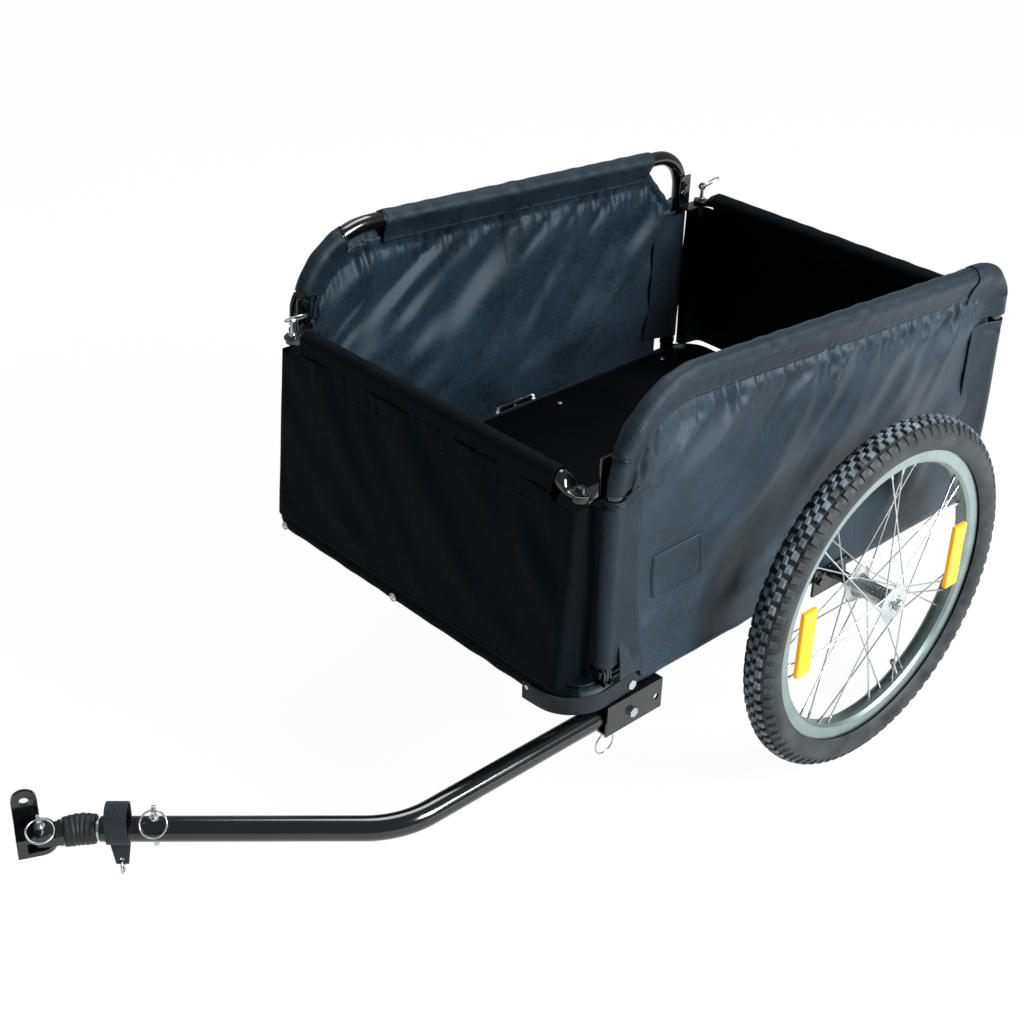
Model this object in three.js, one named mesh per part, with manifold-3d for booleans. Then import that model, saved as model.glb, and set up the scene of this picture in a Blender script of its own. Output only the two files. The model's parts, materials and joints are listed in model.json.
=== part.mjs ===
// Bike cargo trailer: an open fabric box on a folding tube frame, two spoked wheels
// on stub axles, and a bent tow arm with a flexible hitch on the left side.
// Millimetres. +X is the direction of travel, +Y the left side, +Z up, ground at zero.
import * as THREE from "three";
import { mergeVertices } from "three/addons/utils/BufferGeometryUtils.js";
import Module from "manifold-3d";

const wasm = await Module();
wasm.setup();

// Clearances shared by every fit
const seatGap = 0.3; // between two pieces that touch on the real trailer
const runGap = 0.5; // between a shaft and the hole it turns in
const cutOver = 2; // overrun of a cutting solid past the wall it cuts

// Running gear
const rimSeatR = 205;
const tyreHeight = 45; // from the bead seat to the tread
const tyreW = 47;
const rimW = 25;
const rimDepth = 17;
const rimLipR = rimSeatR + 4.5;
const rimWall = 1.7;
const wheelY = 385;
const axleR = 6;
const flangeOut = 30; // hub flanges from the wheel's middle plane
const flangeR = 27;
const hubShellR = 15;
const spokeR = 1;
const spokesPerFlange = 14;
const tyreR = rimSeatR + tyreHeight;

// Frame, seen from the side and from above; heights are above the base rails
const tubeR = 11; // frame tube, 22 mm outside
const clothT = 2; // fabric with its hem allowance
const frontLegX = 419; // front legs of the side hoops, ahead of the axle
const rearLegX = -329; // rear legs, behind the axle
const sideY = 294; // side hoops and side rails, from the middle
const railDrop = 4; // base frame tube below the axle
const railReach = 47; // base frame end rails, beyond the legs
const railBendR = 42; // base frame corners
const pivotLift = 27; // hoop pivots
const hoopFrontRise = 395; // top tube where it meets the front leg line
const hoopRearRise = 348; // top tube where it meets the rear leg line
const hoopFrontBend = 120;
const hoopRearBend = 58;
const hoopBendSteps = 4;
const barRise = 279; // front and rear cross bars
const barAhead = 28; // cross bars outside the leg line
const barFitIn = 25; // bar bolts and pins, inside the hoop plane
const crossTubeR = 8;
const crossTubeX = [-210, 0, 230]; // floor bearers under the board

// Tow arm and hitch
const armR = 14.3;
const armDrop = 38; // arm below the base rails
const armPivotX = 353;
const armCornerX = 731; // where the two straight runs would meet
const armBendR = 110;
const armTurn = THREE.MathUtils.degToRad(41);
const armRunOut = 330; // from that corner to the open end
const hitchTurn = THREE.MathUtils.degToRad(24);
const plugBack = 82; // coupling plug inside the arm
const plugLip = 3; // and out of it
const neckLength = 37;
const neckR = 18;
const eyePinX = 24; // from the neck's end to the swivel pin
const blockFront = 26; // from the swivel pin to the front of the block

// Worked out from the sizes above
const axleZ = tyreR;
const railZ = axleZ - railDrop;
const hoopFrontZ = railZ + hoopFrontRise;
const hoopRearZ = railZ + hoopRearRise;
const barZ = railZ + barRise;
const armZ = railZ - armDrop;
const legXs = { front: frontLegX, rear: rearLegX };
const railFrontX = frontLegX + railReach;
const railRearX = rearLegX - railReach;
const pivotZ = railZ + pivotLift;
const sleeveIn = tubeR + seatGap;
const sleeveOut = sleeveIn + clothT;

const steel = (color, roughness, metalness) => new THREE.MeshStandardMaterial({ color, roughness, metalness });
const blackPaint = steel(0x101214, 0.3, 0.2);
const zinc = steel(0xb9bec2, 0.35, 0.9);
const alloy = steel(0x8fa3a0, 0.45, 0.8);
const clothLight = steel(0x3d444c, 0.9, 0);
const clothDark = steel(0x14171a, 0.9, 0);
const tyreRubber = steel(0x25282a, 0.85, 0);
const softRubber = steel(0x15181a, 0.7, 0);
const boardFace = steel(0x17191b, 0.6, 0);
const amber = steel(0xf5a60a, 0.25, 0);

const trailer = new THREE.Group();
const v3 = (x, y, z) => new THREE.Vector3(x, y, z);

function addPart(name, shape, material) {
  const geometry = shape.isBufferGeometry ? shape : geometryOf(shape);
  geometry.computeVertexNormals();
  const mesh = new THREE.Mesh(geometry, material);
  mesh.name = name;
  trailer.add(mesh);
}

// Solids for joining and cutting
function solidOf(source) {
  const geometry = source.clone();
  geometry.deleteAttribute("normal");
  geometry.deleteAttribute("uv");
  const merged = mergeVertices(geometry, seatGap / 1000);
  return new wasm.Manifold(
    new wasm.Mesh({
      numProp: 3,
      vertProperties: new Float32Array(merged.attributes.position.array),
      triVerts: new Uint32Array(merged.index.array),
    }),
  );
}

function geometryOf(solid) {
  const mesh = solid.getMesh();
  const geometry = new THREE.BufferGeometry();
  geometry.setAttribute("position", new THREE.BufferAttribute(mesh.vertProperties.slice(), mesh.numProp));
  geometry.setIndex(new THREE.BufferAttribute(mesh.triVerts.slice(), 1));
  return geometry;
}

function joined(...pieces) {
  return pieces.map((piece) => (piece.isBufferGeometry ? solidOf(piece) : piece)).reduce((a, b) => a.add(b));
}

function cut(piece, ...tools) {
  const start = piece.isBufferGeometry ? solidOf(piece) : piece;
  return tools.map((tool) => (tool.isBufferGeometry ? solidOf(tool) : tool)).reduce((a, b) => a.subtract(b), start);
}

// The same piece on the other side of the middle plane, with its faces still pointing out
function mirrorY(shape) {
  const geometry = (shape.isBufferGeometry ? shape : geometryOf(shape)).clone();
  return flipped(geometry, 1, -1);
}

function mirrorX(shape) {
  const geometry = (shape.isBufferGeometry ? shape : geometryOf(shape)).clone();
  return flipped(geometry, -1, 1);
}

function flipped(source, alongX, alongY) {
  const geometry = source.index ? source.toNonIndexed() : source;
  geometry.scale(alongX, alongY, 1);
  const p = geometry.attributes.position;
  for (let i = 0; i < p.count; i += 3) {
    const [x, y, z] = [p.getX(i), p.getY(i), p.getZ(i)];
    p.setXYZ(i, p.getX(i + 1), p.getY(i + 1), p.getZ(i + 1));
    p.setXYZ(i + 1, x, y, z);
  }
  geometry.deleteAttribute("normal");
  geometry.deleteAttribute("uv");
  return mergeVertices(geometry, seatGap / 1000);
}

// Basic shapes, each given by where it lies
function block(low, high) {
  const size = high.clone().sub(low);
  const geometry = new THREE.BoxGeometry(size.x, size.y, size.z);
  const middle = low.clone().add(high).multiplyScalar(0.5);
  return geometry.translate(middle.x, middle.y, middle.z);
}

function rod(from, to, radius, sides = 16, endRadius = radius) {
  const along = to.clone().sub(from);
  const geometry = new THREE.CylinderGeometry(endRadius, radius, along.length(), sides);
  geometry.applyQuaternion(new THREE.Quaternion().setFromUnitVectors(v3(0, 1, 0), along.clone().normalize()));
  const middle = from.clone().add(to).multiplyScalar(0.5);
  return geometry.translate(middle.x, middle.y, middle.z);
}

// A bent tube's middle line: straight runs with a round bend of a given radius at each corner
class BentLine extends THREE.Curve {
  constructor(corners, radii, stepsPerBend) {
    super();
    this.stations = [];
    const last = corners.length - 1;
    const direction = (i) => corners[i + 1].clone().sub(corners[i]).normalize();
    this.stations.push({ point: corners[0], tangent: direction(0) });
    for (let i = 1; i < last; i++) {
      const [before, after] = [direction(i - 1), direction(i)];
      const turn = before.angleTo(after);
      const radius = radii[i - 1];
      const start = corners[i].clone().addScaledVector(before, -radius * Math.tan(turn / 2));
      const inward = after.clone().addScaledVector(before, -after.dot(before)).normalize();
      const centre = start.clone().addScaledVector(inward, radius);
      for (let k = 0; k <= stepsPerBend; k++) {
        const angle = (turn * k) / stepsPerBend;
        const point = centre.clone().addScaledVector(inward, -radius * Math.cos(angle));
        point.addScaledVector(before, radius * Math.sin(angle));
        const tangent = before.clone().multiplyScalar(Math.cos(angle)).addScaledVector(inward, Math.sin(angle));
        this.stations.push({ point, tangent });
      }
    }
    this.stations.push({ point: corners[last], tangent: direction(last - 1) });
  }
  get steps() {
    return this.stations.length - 1;
  }
  getPointAt(share) {
    return this.stations[Math.round(share * this.steps)].point.clone();
  }
  getTangentAt(share) {
    return this.stations[Math.round(share * this.steps)].tangent.clone();
  }
  getPoint(share) {
    return this.getPointAt(share);
  }
}

function swept(line, section) {
  return new THREE.ExtrudeGeometry(section, { steps: line.steps, extrudePath: line, bevelEnabled: false });
}

function roundSection(radius, sides) {
  const points = [];
  for (let i = 0; i < sides; i++) {
    const angle = (2 * Math.PI * i) / sides;
    points.push(new THREE.Vector2(radius * Math.cos(angle), radius * Math.sin(angle)));
  }
  return new THREE.Shape(points);
}

function slab(outline, y0, y1) {
  // an outline of [x, z] points, from one y to another
  const shape = new THREE.Shape(outline.map(([x, z]) => new THREE.Vector2(x, z)));
  const geometry = new THREE.ExtrudeGeometry(shape, { depth: y1 - y0, bevelEnabled: false });
  geometry.rotateX(Math.PI / 2);
  return geometry.translate(0, y1, 0);
}

function turned(profile, segments, centre) {
  // a profile of [radius, y] points turned about an axle along Y
  const geometry = new THREE.LatheGeometry(profile.map(([r, y]) => new THREE.Vector2(r, y)), segments);
  return geometry.translate(centre.x, centre.y, centre.z);
}

// Base frame: one bent loop of tube with floor bearers and the hoop ears welded on
const earT = 3;
const footT = 6;
const earR = 9;
const pivotHoleR = 4.3;
const loopSides = 10;
const towBoltR = 4;
const towBoltX = 384;
const railBoltHole = () =>
  rod(v3(towBoltX, sideY - sleeveOut - cutOver, railZ), v3(towBoltX, sideY + sleeveOut + cutOver, railZ), towBoltR + runGap, 12);
const tubeSides = 12;
const halfOverlap = 3;

function loopHalf(end) {
  // half of the base loop, from one side rail round an end to the other side rail
  const endX = end > 0 ? railFrontX : railRearX;
  const corners = [
    v3(-end * halfOverlap, -sideY, railZ),
    v3(endX, -sideY, railZ),
    v3(endX, sideY, railZ),
    v3(-end * halfOverlap, sideY, railZ),
  ];
  return new BentLine(corners, [railBendR, railBendR], 4);
}

function earPair(legX, side) {
  const shape = new THREE.Shape();
  const foot = -pivotLift + tubeR / 2;
  shape.moveTo(-earR, foot);
  shape.lineTo(earR, foot);
  shape.lineTo(earR, 0);
  shape.absarc(0, 0, earR, 0, Math.PI, false);
  shape.closePath();
  const hole = new THREE.Path();
  hole.absarc(0, 0, pivotHoleR, 0, 2 * Math.PI, true);
  shape.holes.push(hole);
  const ears = [];
  for (const outward of [-1, 1]) {
    const ear = new THREE.ExtrudeGeometry(shape, { depth: earT, bevelEnabled: false, curveSegments: 3 });
    ear.rotateX(Math.PI / 2).rotateZ(Math.PI / 2);
    const inner = footT / 2 + runGap;
    ear.translate(legX + (outward > 0 ? inner : -inner - earT), side * sideY, pivotZ);
    ears.push(ear);
  }
  return ears;
}

const baseTube = roundSection(tubeR, loopSides);
const bearerZ = railZ + tubeR - crossTubeR;
const bearers = crossTubeX.map((x) =>
  rod(v3(x, -sideY, bearerZ), v3(x, sideY, bearerZ), crossTubeR, 8),
);
const ears = Object.values(legXs).flatMap((x) => [...earPair(x, 1), ...earPair(x, -1)]);
addPart(
  "base_frame",
  cut(joined(swept(loopHalf(1), baseTube), swept(loopHalf(-1), baseTube), ...bearers, ...ears), railBoltHole()),
  blackPaint,
);

// Floor board with a notch round each hoop foot
const boardT = 6;
const boardZ = railZ + tubeR + seatGap;
const boardEndIn = 26; // board ends inside the end rails
const boardSideIn = 9;
const notchX = 22;
const notchY = 22;
function floorBoard() {
  const [x0, x1] = [railRearX + boardEndIn, railFrontX - boardEndIn];
  const y1 = sideY - boardSideIn;
  const board = block(v3(x0, -y1, boardZ), v3(x1, y1, boardZ + boardT));
  const notches = [];
  for (const legX of Object.values(legXs)) {
    for (const side of [-1, 1]) {
      const [a, b] = [side * (y1 - notchY), side * (y1 + cutOver)];
      const [xa, xb] = legX > 0 ? [legX - notchX, x1 + cutOver] : [x0 - cutOver, legX + notchX];
      notches.push(block(v3(xa, Math.min(a, b), boardZ - cutOver), v3(xb, Math.max(a, b), boardZ + boardT + cutOver)));
    }
  }
  return cut(board, ...notches);
}
addPart("floor_board", floorBoard(), boardFace);

// Fabric hem that wraps the outside and underside of the base loop
const hemTopZ = 14; // above the rail's middle
function hemSection() {
  // the swept section's first axis points down and its second to the left of travel
  const points = [];
  const steps = 4;
  for (let i = 0; i <= steps; i++) {
    const angle = (Math.PI / 2) * (i / steps);
    points.push(new THREE.Vector2(sleeveOut * Math.cos(angle), sleeveOut * Math.sin(angle)));
  }
  points.push(new THREE.Vector2(-hemTopZ, sleeveOut), new THREE.Vector2(-hemTopZ, sleeveIn));
  for (let i = steps; i >= 0; i--) {
    const angle = (Math.PI / 2) * (i / steps);
    points.push(new THREE.Vector2(sleeveIn * Math.cos(angle), sleeveIn * Math.sin(angle)));
  }
  return points;
}

function hemHalf(end) {
  const line = loopHalf(end);
  const outwardSign = end > 0 ? -1 : 1;
  const points = hemSection().map((p) => new THREE.Vector2(p.x, p.y * outwardSign));
  return swept(line, new THREE.Shape(points));
}
addPart("fabric_hem", cut(joined(hemHalf(1), hemHalf(-1)), railBoltHole()), clothDark);

// Side hoops
function hoopLine(side, y = sideY) {
  const footZ = pivotZ + footTongue;
  const corners = [
    v3(frontLegX, side * y, footZ),
    v3(frontLegX, side * y, hoopFrontZ),
    v3(rearLegX, side * y, hoopRearZ),
    v3(rearLegX, side * y, footZ),
  ];
  return new BentLine(corners, [hoopFrontBend, hoopRearBend], hoopBendSteps);
}
const footTongue = 12; // tube ends this far above the pivot
const footDrop = 9; // tongue goes this far below the pivot

function hoopFoot(legX, side) {
  const y = side * sideY;
  const half = tubeR * 0.9;
  const tongue = block(
    v3(legX - footT / 2, y - half, pivotZ - footDrop),
    v3(legX + footT / 2, y + half, pivotZ + footTongue + tubeR),
  );
  const hole = rod(v3(legX - footT, y, pivotZ), v3(legX + footT, y, pivotZ), pivotHoleR, 16);
  return cut(tongue, hole);
}

// Hanging cloth as a closed sheet: a grid of points across (u) and down (v), and its thickness
function clothSheet(columns, rows, pointAt, thickness) {
  const positions = [];
  const index = [];
  const across = columns + 1;
  const layer = across * (rows + 1);
  for (const face of [0, 1]) {
    for (let j = 0; j <= rows; j++) {
      for (let i = 0; i <= columns; i++) {
        const p = pointAt(i, j / rows);
        p.addScaledVector(thickness, face);
        positions.push(p.x, p.y, p.z);
      }
    }
  }
  const quad = (a, b, c, d) => index.push(a, b, c, a, c, d);
  const at = (i, j, face) => face * layer + j * across + i;
  for (let j = 0; j < rows; j++) {
    for (let i = 0; i < columns; i++) {
      quad(at(i, j, 0), at(i, j + 1, 0), at(i + 1, j + 1, 0), at(i + 1, j, 0));
      quad(at(i, j, 1), at(i + 1, j, 1), at(i + 1, j + 1, 1), at(i, j + 1, 1));
    }
    quad(at(0, j, 0), at(0, j, 1), at(0, j + 1, 1), at(0, j + 1, 0));
    quad(at(columns, j, 0), at(columns, j + 1, 0), at(columns, j + 1, 1), at(columns, j, 1));
  }
  for (let i = 0; i < columns; i++) {
    quad(at(i, 0, 0), at(i + 1, 0, 0), at(i + 1, 0, 1), at(i, 0, 1));
    quad(at(i, rows, 0), at(i, rows, 1), at(i + 1, rows, 1), at(i + 1, rows, 0));
  }
  const geometry = new THREE.BufferGeometry();
  geometry.setAttribute("position", new THREE.Float32BufferAttribute(positions, 3));
  geometry.setIndex(index);
  const solid = solidOf(geometry);
  return solid.volume() > 0 ? solid : solidOf(flipped(geometry, 1, 1));
}

const smooth = (share) => {
  const t = Math.min(1, Math.max(0, share));
  return t * t * (3 - 2 * t);
};

// Cloth of a side: a sleeve round the hoop, and a sheet that hangs from the hoop's middle plane
// and comes out over the hoop feet and the base rail
const sheetFootZ = railZ + hemTopZ + 1.5;
const sleeveFoot = 24; // sleeve starts this far above the hoop foot
const sheetOutHeight = 120; // the sheet comes out over this height above the sleeve's foot
const sideFolds = 3.5; // slanting folds along a side
const sideFoldLean = 0.9; // folds that a vertical line crosses
const sideFoldDepth = 5;
const sideRows = 5;

function sidePanel(side) {
  const legFootZ = pivotZ + footTongue + sleeveFoot;
  const hoopFrom = (footZ) =>
    new BentLine(
      [
        v3(frontLegX, side * sideY, footZ),
        v3(frontLegX, side * sideY, hoopFrontZ),
        v3(rearLegX, side * sideY, hoopRearZ),
        v3(rearLegX, side * sideY, footZ),
      ],
      [hoopFrontBend, hoopRearBend],
      hoopBendSteps,
    );
  const sleeveLine = hoopFrom(legFootZ);
  const sleeve = swept(sleeveLine, roundSection(sleeveOut / Math.cos(Math.PI / tubeSides), tubeSides));
  const bore = swept(hoopLine(side), roundSection(sleeveIn / Math.cos(Math.PI / tubeSides), tubeSides));
  const rim = withMidpoints(sleeveLine.stations.map((s) => s.point));
  const last = rim.length - 1;
  const outFull = sleeveIn + clothT / 2;
  const pointAt = (i, v) => {
    const top = rim[i];
    const foot = v3(THREE.MathUtils.lerp(frontLegX, rearLegX, i / last), top.y, sheetFootZ);
    const p = top.clone().lerp(foot, v);
    const fold = Math.sin(2 * Math.PI * (sideFolds * (i / last) + sideFoldLean * v));
    const hang = Math.sin(Math.PI * v) * smooth((4 * i * (last - i)) / (last * last));
    const out = outFull * smooth(1 - (p.z - legFootZ) / sheetOutHeight);
    p.y += side * (out + sideFoldDepth * hang * fold - clothT / 2);
    return p;
  };
  const sheet = clothSheet(last, sideRows, pointAt, v3(0, side * clothT, 0));
  return cut(joined(sheet, sleeve), bore, ...bracketRooms(side));
}

function withMidpoints(points) {
  // long straight runs get points between their ends, so that the cloth can fold there
  const longest = 2 * sheetOutHeight;
  return points.flatMap((p, i) => {
    const next = points[i + 1];
    if (!next) return [p];
    const parts = Math.ceil(p.distanceTo(next) / longest + 0.5);
    return Array.from({ length: parts }, (_, k) => p.clone().lerp(next, k / parts));
  });
}

function bracketRooms(side) {
  // the sleeve is open on its inner side, where the bar bracket sits on bare tube
  return Object.values(legXs).map((legX) => {
    const inner = side * (sideY - tubeR + clothT);
    const past = side * (sideY - tubeR - 2 * bracketT);
    return block(
      v3(legX - 2 * tubeR, Math.min(inner, past), shelfTop - shelfT - runGap),
      v3(legX + 2 * tubeR, Math.max(inner, past), shelfTop + bracketRise + runGap),
    );
  });
}

// Bracket on the inner side of a leg: an upright plate with two bolts, and the shelf under a bar's end
const bracketT = 3;
const bracketHalf = 11;
const bracketRise = 48; // the plate above the shelf
const bracketBoltRises = [18, 38];
const bracketBoltBack = 3; // bolts behind the leg line, where the leg starts to bend
const tongueT = 5;
const shelfT = 4;
const shelfR = 10;
const boltHeadR = 6;
const boltHeadH = 5;
const pinR = 3;
const tongueBottom = barZ - tubeR;
const shelfTop = tongueBottom - seatGap;
const fitY = sideY - barFitIn;

function barBracket() {
  // front left one; the others are its mirror images
  const outer = sideY - tubeR - seatGap;
  const inner = outer - bracketT;
  const pinX = frontLegX + barAhead;
  const plate = block(
    v3(frontLegX - bracketHalf, inner, shelfTop - shelfT),
    v3(frontLegX + bracketHalf, outer, shelfTop + bracketRise),
  );
  const shelf = block(v3(frontLegX - bracketHalf, fitY - shelfR, shelfTop - shelfT), v3(pinX, outer, shelfTop));
  const end = rod(v3(pinX, fitY, shelfTop - shelfT), v3(pinX, fitY, shelfTop), shelfR, 16);
  const hole = rod(v3(pinX, fitY, shelfTop - shelfT - cutOver), v3(pinX, fitY, shelfTop + cutOver), pinR + runGap, 12);
  const heads = bracketBoltRises.map((rise) => {
    const x = frontLegX - bracketBoltBack;
    return rod(v3(x, inner + bracketT / 2, shelfTop + rise), v3(x, inner - boltHeadH, shelfTop + rise), boltHeadR, 6);
  });
  return cut(joined(plate, shelf, end, ...heads), hole);
}

// Pivot bolt through the ears of a hoop foot
const pivotBoltR = 3.7;
function pivotBolt() {
  const half = footT / 2 + runGap + earT;
  const y = sideY;
  const shank = rod(v3(frontLegX - half - seatGap, y, pivotZ), v3(frontLegX + half + seatGap, y, pivotZ), pivotBoltR, 12);
  const head = rod(
    v3(frontLegX + half + seatGap, y, pivotZ),
    v3(frontLegX + half + seatGap + boltHeadH, y, pivotZ),
    boltHeadR + 1,
    6,
  );
  const nut = rod(
    v3(frontLegX - half - seatGap - boltHeadH, y, pivotZ),
    v3(frontLegX - half - seatGap, y, pivotZ),
    boltHeadR + 1,
    6,
  );
  return joined(shank, head, nut);
}

// The rear leg is not the mirror image of the front one about x = 0, so it is moved after mirroring
const legMid = (frontLegX + rearLegX) / 2;
const toRear = (shape) => mirrorX(shape).translate(2 * legMid, 0, 0);

const corners = [
  { end: "front", side: "left", make: (s) => (s.isBufferGeometry ? s : geometryOf(s)) },
  { end: "front", side: "right", make: (s) => mirrorY(s) },
  { end: "rear", side: "left", make: (s) => toRear(s) },
  { end: "rear", side: "right", make: (s) => mirrorY(toRear(s)) },
];
const bracket = barBracket();
const bolt = pivotBolt();
for (const { end, side, make } of corners) {
  addPart(`${side}_${end}_bar_bracket`, make(bracket), blackPaint);
  addPart(`${side}_${end}_pivot_bolt`, make(bolt), zinc);
}
for (const [name, side] of [["left", 1], ["right", -1]]) {
  const hoop = joined(
    swept(hoopLine(side), roundSection(tubeR, tubeSides)),
    hoopFoot(frontLegX, side),
    hoopFoot(rearLegX, side),
  );
  addPart(`${name}_side_hoop`, hoop, blackPaint);
  addPart(`${name}_side_panel`, sidePanel(side), clothLight);
}

// Cross bar with flattened ends, seen as the front one
const barTubeEnd = fitY - 30; // half length of the round tube
const tonguePast = 13; // beyond the pin
const tongueEnd = fitY + tonguePast;
const tongueHalf = 11;
const sleeveEnd = barTubeEnd - 4;
function crossBar() {
  const barX = frontLegX + barAhead;
  const tube = rod(v3(barX, -barTubeEnd, barZ), v3(barX, barTubeEnd, barZ), tubeR, tubeSides);
  const tongue = block(
    v3(barX - tongueHalf, -tongueEnd, tongueBottom),
    v3(barX + tongueHalf, tongueEnd, tongueBottom + tongueT),
  );
  const trimmed = cut(
    tongue,
    block(
      v3(barX - tongueHalf - cutOver, -barTubeEnd + cutOver, tongueBottom - cutOver),
      v3(barX + tongueHalf + cutOver, barTubeEnd - cutOver, tongueBottom + tongueT + cutOver),
    ),
  );
  const slopes = [-1, 1].map((s) => {
    const shape = new THREE.Shape([
      new THREE.Vector2(0, 0),
      new THREE.Vector2(tubeR, 0),
      new THREE.Vector2(0, 1.6 * tubeR),
    ]);
    const wedge = new THREE.ExtrudeGeometry(shape, { depth: 1.4 * tubeR, bevelEnabled: false });
    wedge.rotateX(Math.PI / 2).rotateZ(Math.PI / 2);
    wedge.translate(barX - 0.7 * tubeR, barTubeEnd - seatGap, tongueBottom + tongueT / 2);
    return s > 0 ? wedge : mirrorY(wedge);
  });
  const holes = [-1, 1].map((s) =>
    rod(v3(barX, s * fitY, tongueBottom - cutOver), v3(barX, s * fitY, tongueBottom + tongueT + cutOver), pinR + runGap, 12),
  );
  return cut(joined(tube, trimmed, ...slopes), ...holes);
}

// Gate cloth: sleeve on the bar, sheet down to the hem, and edges that turn back to the legs
const flapFoot = 5; // turned edges start above the floor board
const flapGap = 2.7; // between them and the sleeves of the legs
const cornerGap = 6; // cloth corner under the shelf, which it passes as the gate tips out
const gateFolds = 2.5; // shallow folds across a gate
const gateFoldLean = 0.6;
const gateFoldDepth = 4;
const gateColumns = 10;
const gateRows = 5;
function gatePanel() {
  const barX = frontLegX + barAhead;
  const sleeve = rod(v3(barX, -sleeveEnd, barZ), v3(barX, sleeveEnd, barZ), sleeveOut / Math.cos(Math.PI / tubeSides), tubeSides);
  const bore = rod(
    v3(barX, -barTubeEnd - cutOver, barZ),
    v3(barX, barTubeEnd + cutOver, barZ),
    sleeveIn / Math.cos(Math.PI / tubeSides),
    tubeSides,
  );
  const topX = barX + sleeveIn;
  const footX = railFrontX + sleeveIn;
  const lean = (z) => THREE.MathUtils.mapLinear(z, barZ, sheetFootZ, topX, footX);
  const cornerZ = shelfTop - shelfT - cornerGap; // the cloth is cut slanting from here to the sleeve's end
  const edgeY = sideY - sleeveOut - flapGap;
  const pointAt = (i, v) => {
    const share = 1 - (2 * i) / gateColumns;
    const top = v === 0;
    const z = top ? barZ : THREE.MathUtils.mapLinear(v, 1 / gateRows, 1, cornerZ, sheetFootZ);
    const hang = Math.sin(Math.PI * v) * (1 - share * share);
    const fold = 1 + Math.sin(2 * Math.PI * ((gateFolds * i) / gateColumns + gateFoldLean * v));
    return v3(lean(z) + (gateFoldDepth / 2) * hang * fold, share * (top ? sleeveEnd : edgeY), z);
  };
  const sheet = clothSheet(gateColumns, gateRows, pointAt, v3(clothT, 0, 0));
  const returns = [-1, 1].map((s) => {
    const foot = boardZ + boardT + flapFoot;
    const edgeX = frontLegX + sleeveOut + 2 * runGap;
    const shape = new THREE.Shape([
      new THREE.Vector2(edgeX, foot),
      new THREE.Vector2(lean(foot) + clothT / 2, foot),
      new THREE.Vector2(lean(cornerZ) + clothT / 2, cornerZ),
      new THREE.Vector2(edgeX, cornerZ),
    ]);
    const flap = new THREE.ExtrudeGeometry(shape, { depth: clothT, bevelEnabled: false });
    flap.rotateX(Math.PI / 2);
    return flap.translate(0, s > 0 ? edgeY : -edgeY + clothT, 0);
  });
  return cut(joined(sleeve, sheet, ...returns), bore);
}

const frontBar = crossBar();
const frontCloth = gatePanel();
addPart("front_bar", frontBar, blackPaint);
addPart("front_panel", frontCloth, clothDark);
addPart("rear_bar", toRear(frontBar), blackPaint);
addPart("rear_panel", toRear(frontCloth), clothDark);

// Fixing bolt at one end of a bar, ring pin at the other
const headBoltR = 7;
const headBoltH = 6;
function barBolt() {
  const x = frontLegX + barAhead;
  const seat = tongueBottom + tongueT + seatGap;
  const shank = rod(v3(x, fitY, tongueBottom + seatGap), v3(x, fitY, seat + 1), pinR, 12);
  const washer = rod(v3(x, fitY, seat), v3(x, fitY, seat + 1.5), headBoltR + 2, 20);
  const head = rod(v3(x, fitY, seat + 1.5), v3(x, fitY, seat + 1.5 + headBoltH), headBoltR, 20, headBoltR * 0.7);
  return joined(shank, washer, head);
}

const eyeR = 6;
const eyeT = 4;
const eyeHoleR = 2.3;
const collarT = 3;
const collarLip = 2.5;
const ringR = 15;
const ringWireR = 1.1;
function eyePin(x, y, tipZ, shoulderZ, holeZ, pointing, shankR = pinR) {
  // a straight pin with a collar and a flat eye; pointing is 1 with the eye on top
  const shank = rod(v3(x, y, tipZ), v3(x, y, holeZ), shankR, 12);
  const collar = rod(v3(x, y, shoulderZ), v3(x, y, shoulderZ + pointing * collarT), shankR + collarLip, 12);
  const eye = rod(v3(x - eyeT / 2, y, holeZ), v3(x + eyeT / 2, y, holeZ), eyeR, 14);
  const thin = block(
    v3(x - 2 * eyeR, y - 2 * eyeR, holeZ - eyeHoleR * 1.6),
    v3(x - eyeT / 2, y + 2 * eyeR, holeZ + 2 * eyeR),
  );
  const thinOther = block(
    v3(x + eyeT / 2, y - 2 * eyeR, holeZ - eyeHoleR * 1.6),
    v3(x + 2 * eyeR, y + 2 * eyeR, holeZ + 2 * eyeR),
  );
  const hole = rod(v3(x - eyeR, y, holeZ), v3(x + eyeR, y, holeZ), eyeHoleR, 12);
  const trimmed = pointing > 0 ? cut(shank, thin, thinOther) : shank;
  return cut(joined(trimmed, collar, eye), hole);
}

function pullRing(x, y, holeZ, lean) {
  // ring through the eye, its middle one radius from the hole; lean turns it about the hole's axis
  const ring = new THREE.TorusGeometry(ringR, ringWireR, 5, 18);
  ring.translate(ringR, 0, 0).rotateZ(Math.PI / 2);
  ring.rotateX(lean);
  return ring.translate(x, y, holeZ);
}

const barPinX = frontLegX + barAhead;
const pinSeat = tongueBottom + tongueT + seatGap;
const eyeRise = 16; // ring pin's eye, above the bar's middle
const eyeZ = barZ + eyeRise;
const eyeTurns = { front: THREE.MathUtils.degToRad(12), rear: THREE.MathUtils.degToRad(25) }; // clear of the folding hoop
const restLean = THREE.MathUtils.degToRad(35); // the ring lies over the bar's end
addPart("front_bar_bolt", barBolt(), zinc);
addPart("rear_bar_bolt", toRear(barBolt()), zinc);
const ringPin = eyePin(barPinX, -fitY, tongueBottom + seatGap, pinSeat, eyeZ, 1);
const ringOfPin = pullRing(barPinX, -fitY, eyeZ, restLean);
addPart("front_bar_pin", turnedAtPin(ringPin, eyeTurns.front), zinc);
addPart("rear_bar_pin", toRear(turnedAtPin(ringPin, eyeTurns.rear)), zinc);
addPart("front_bar_ring", turnedAtPin(ringOfPin, eyeTurns.front), zinc);
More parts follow.
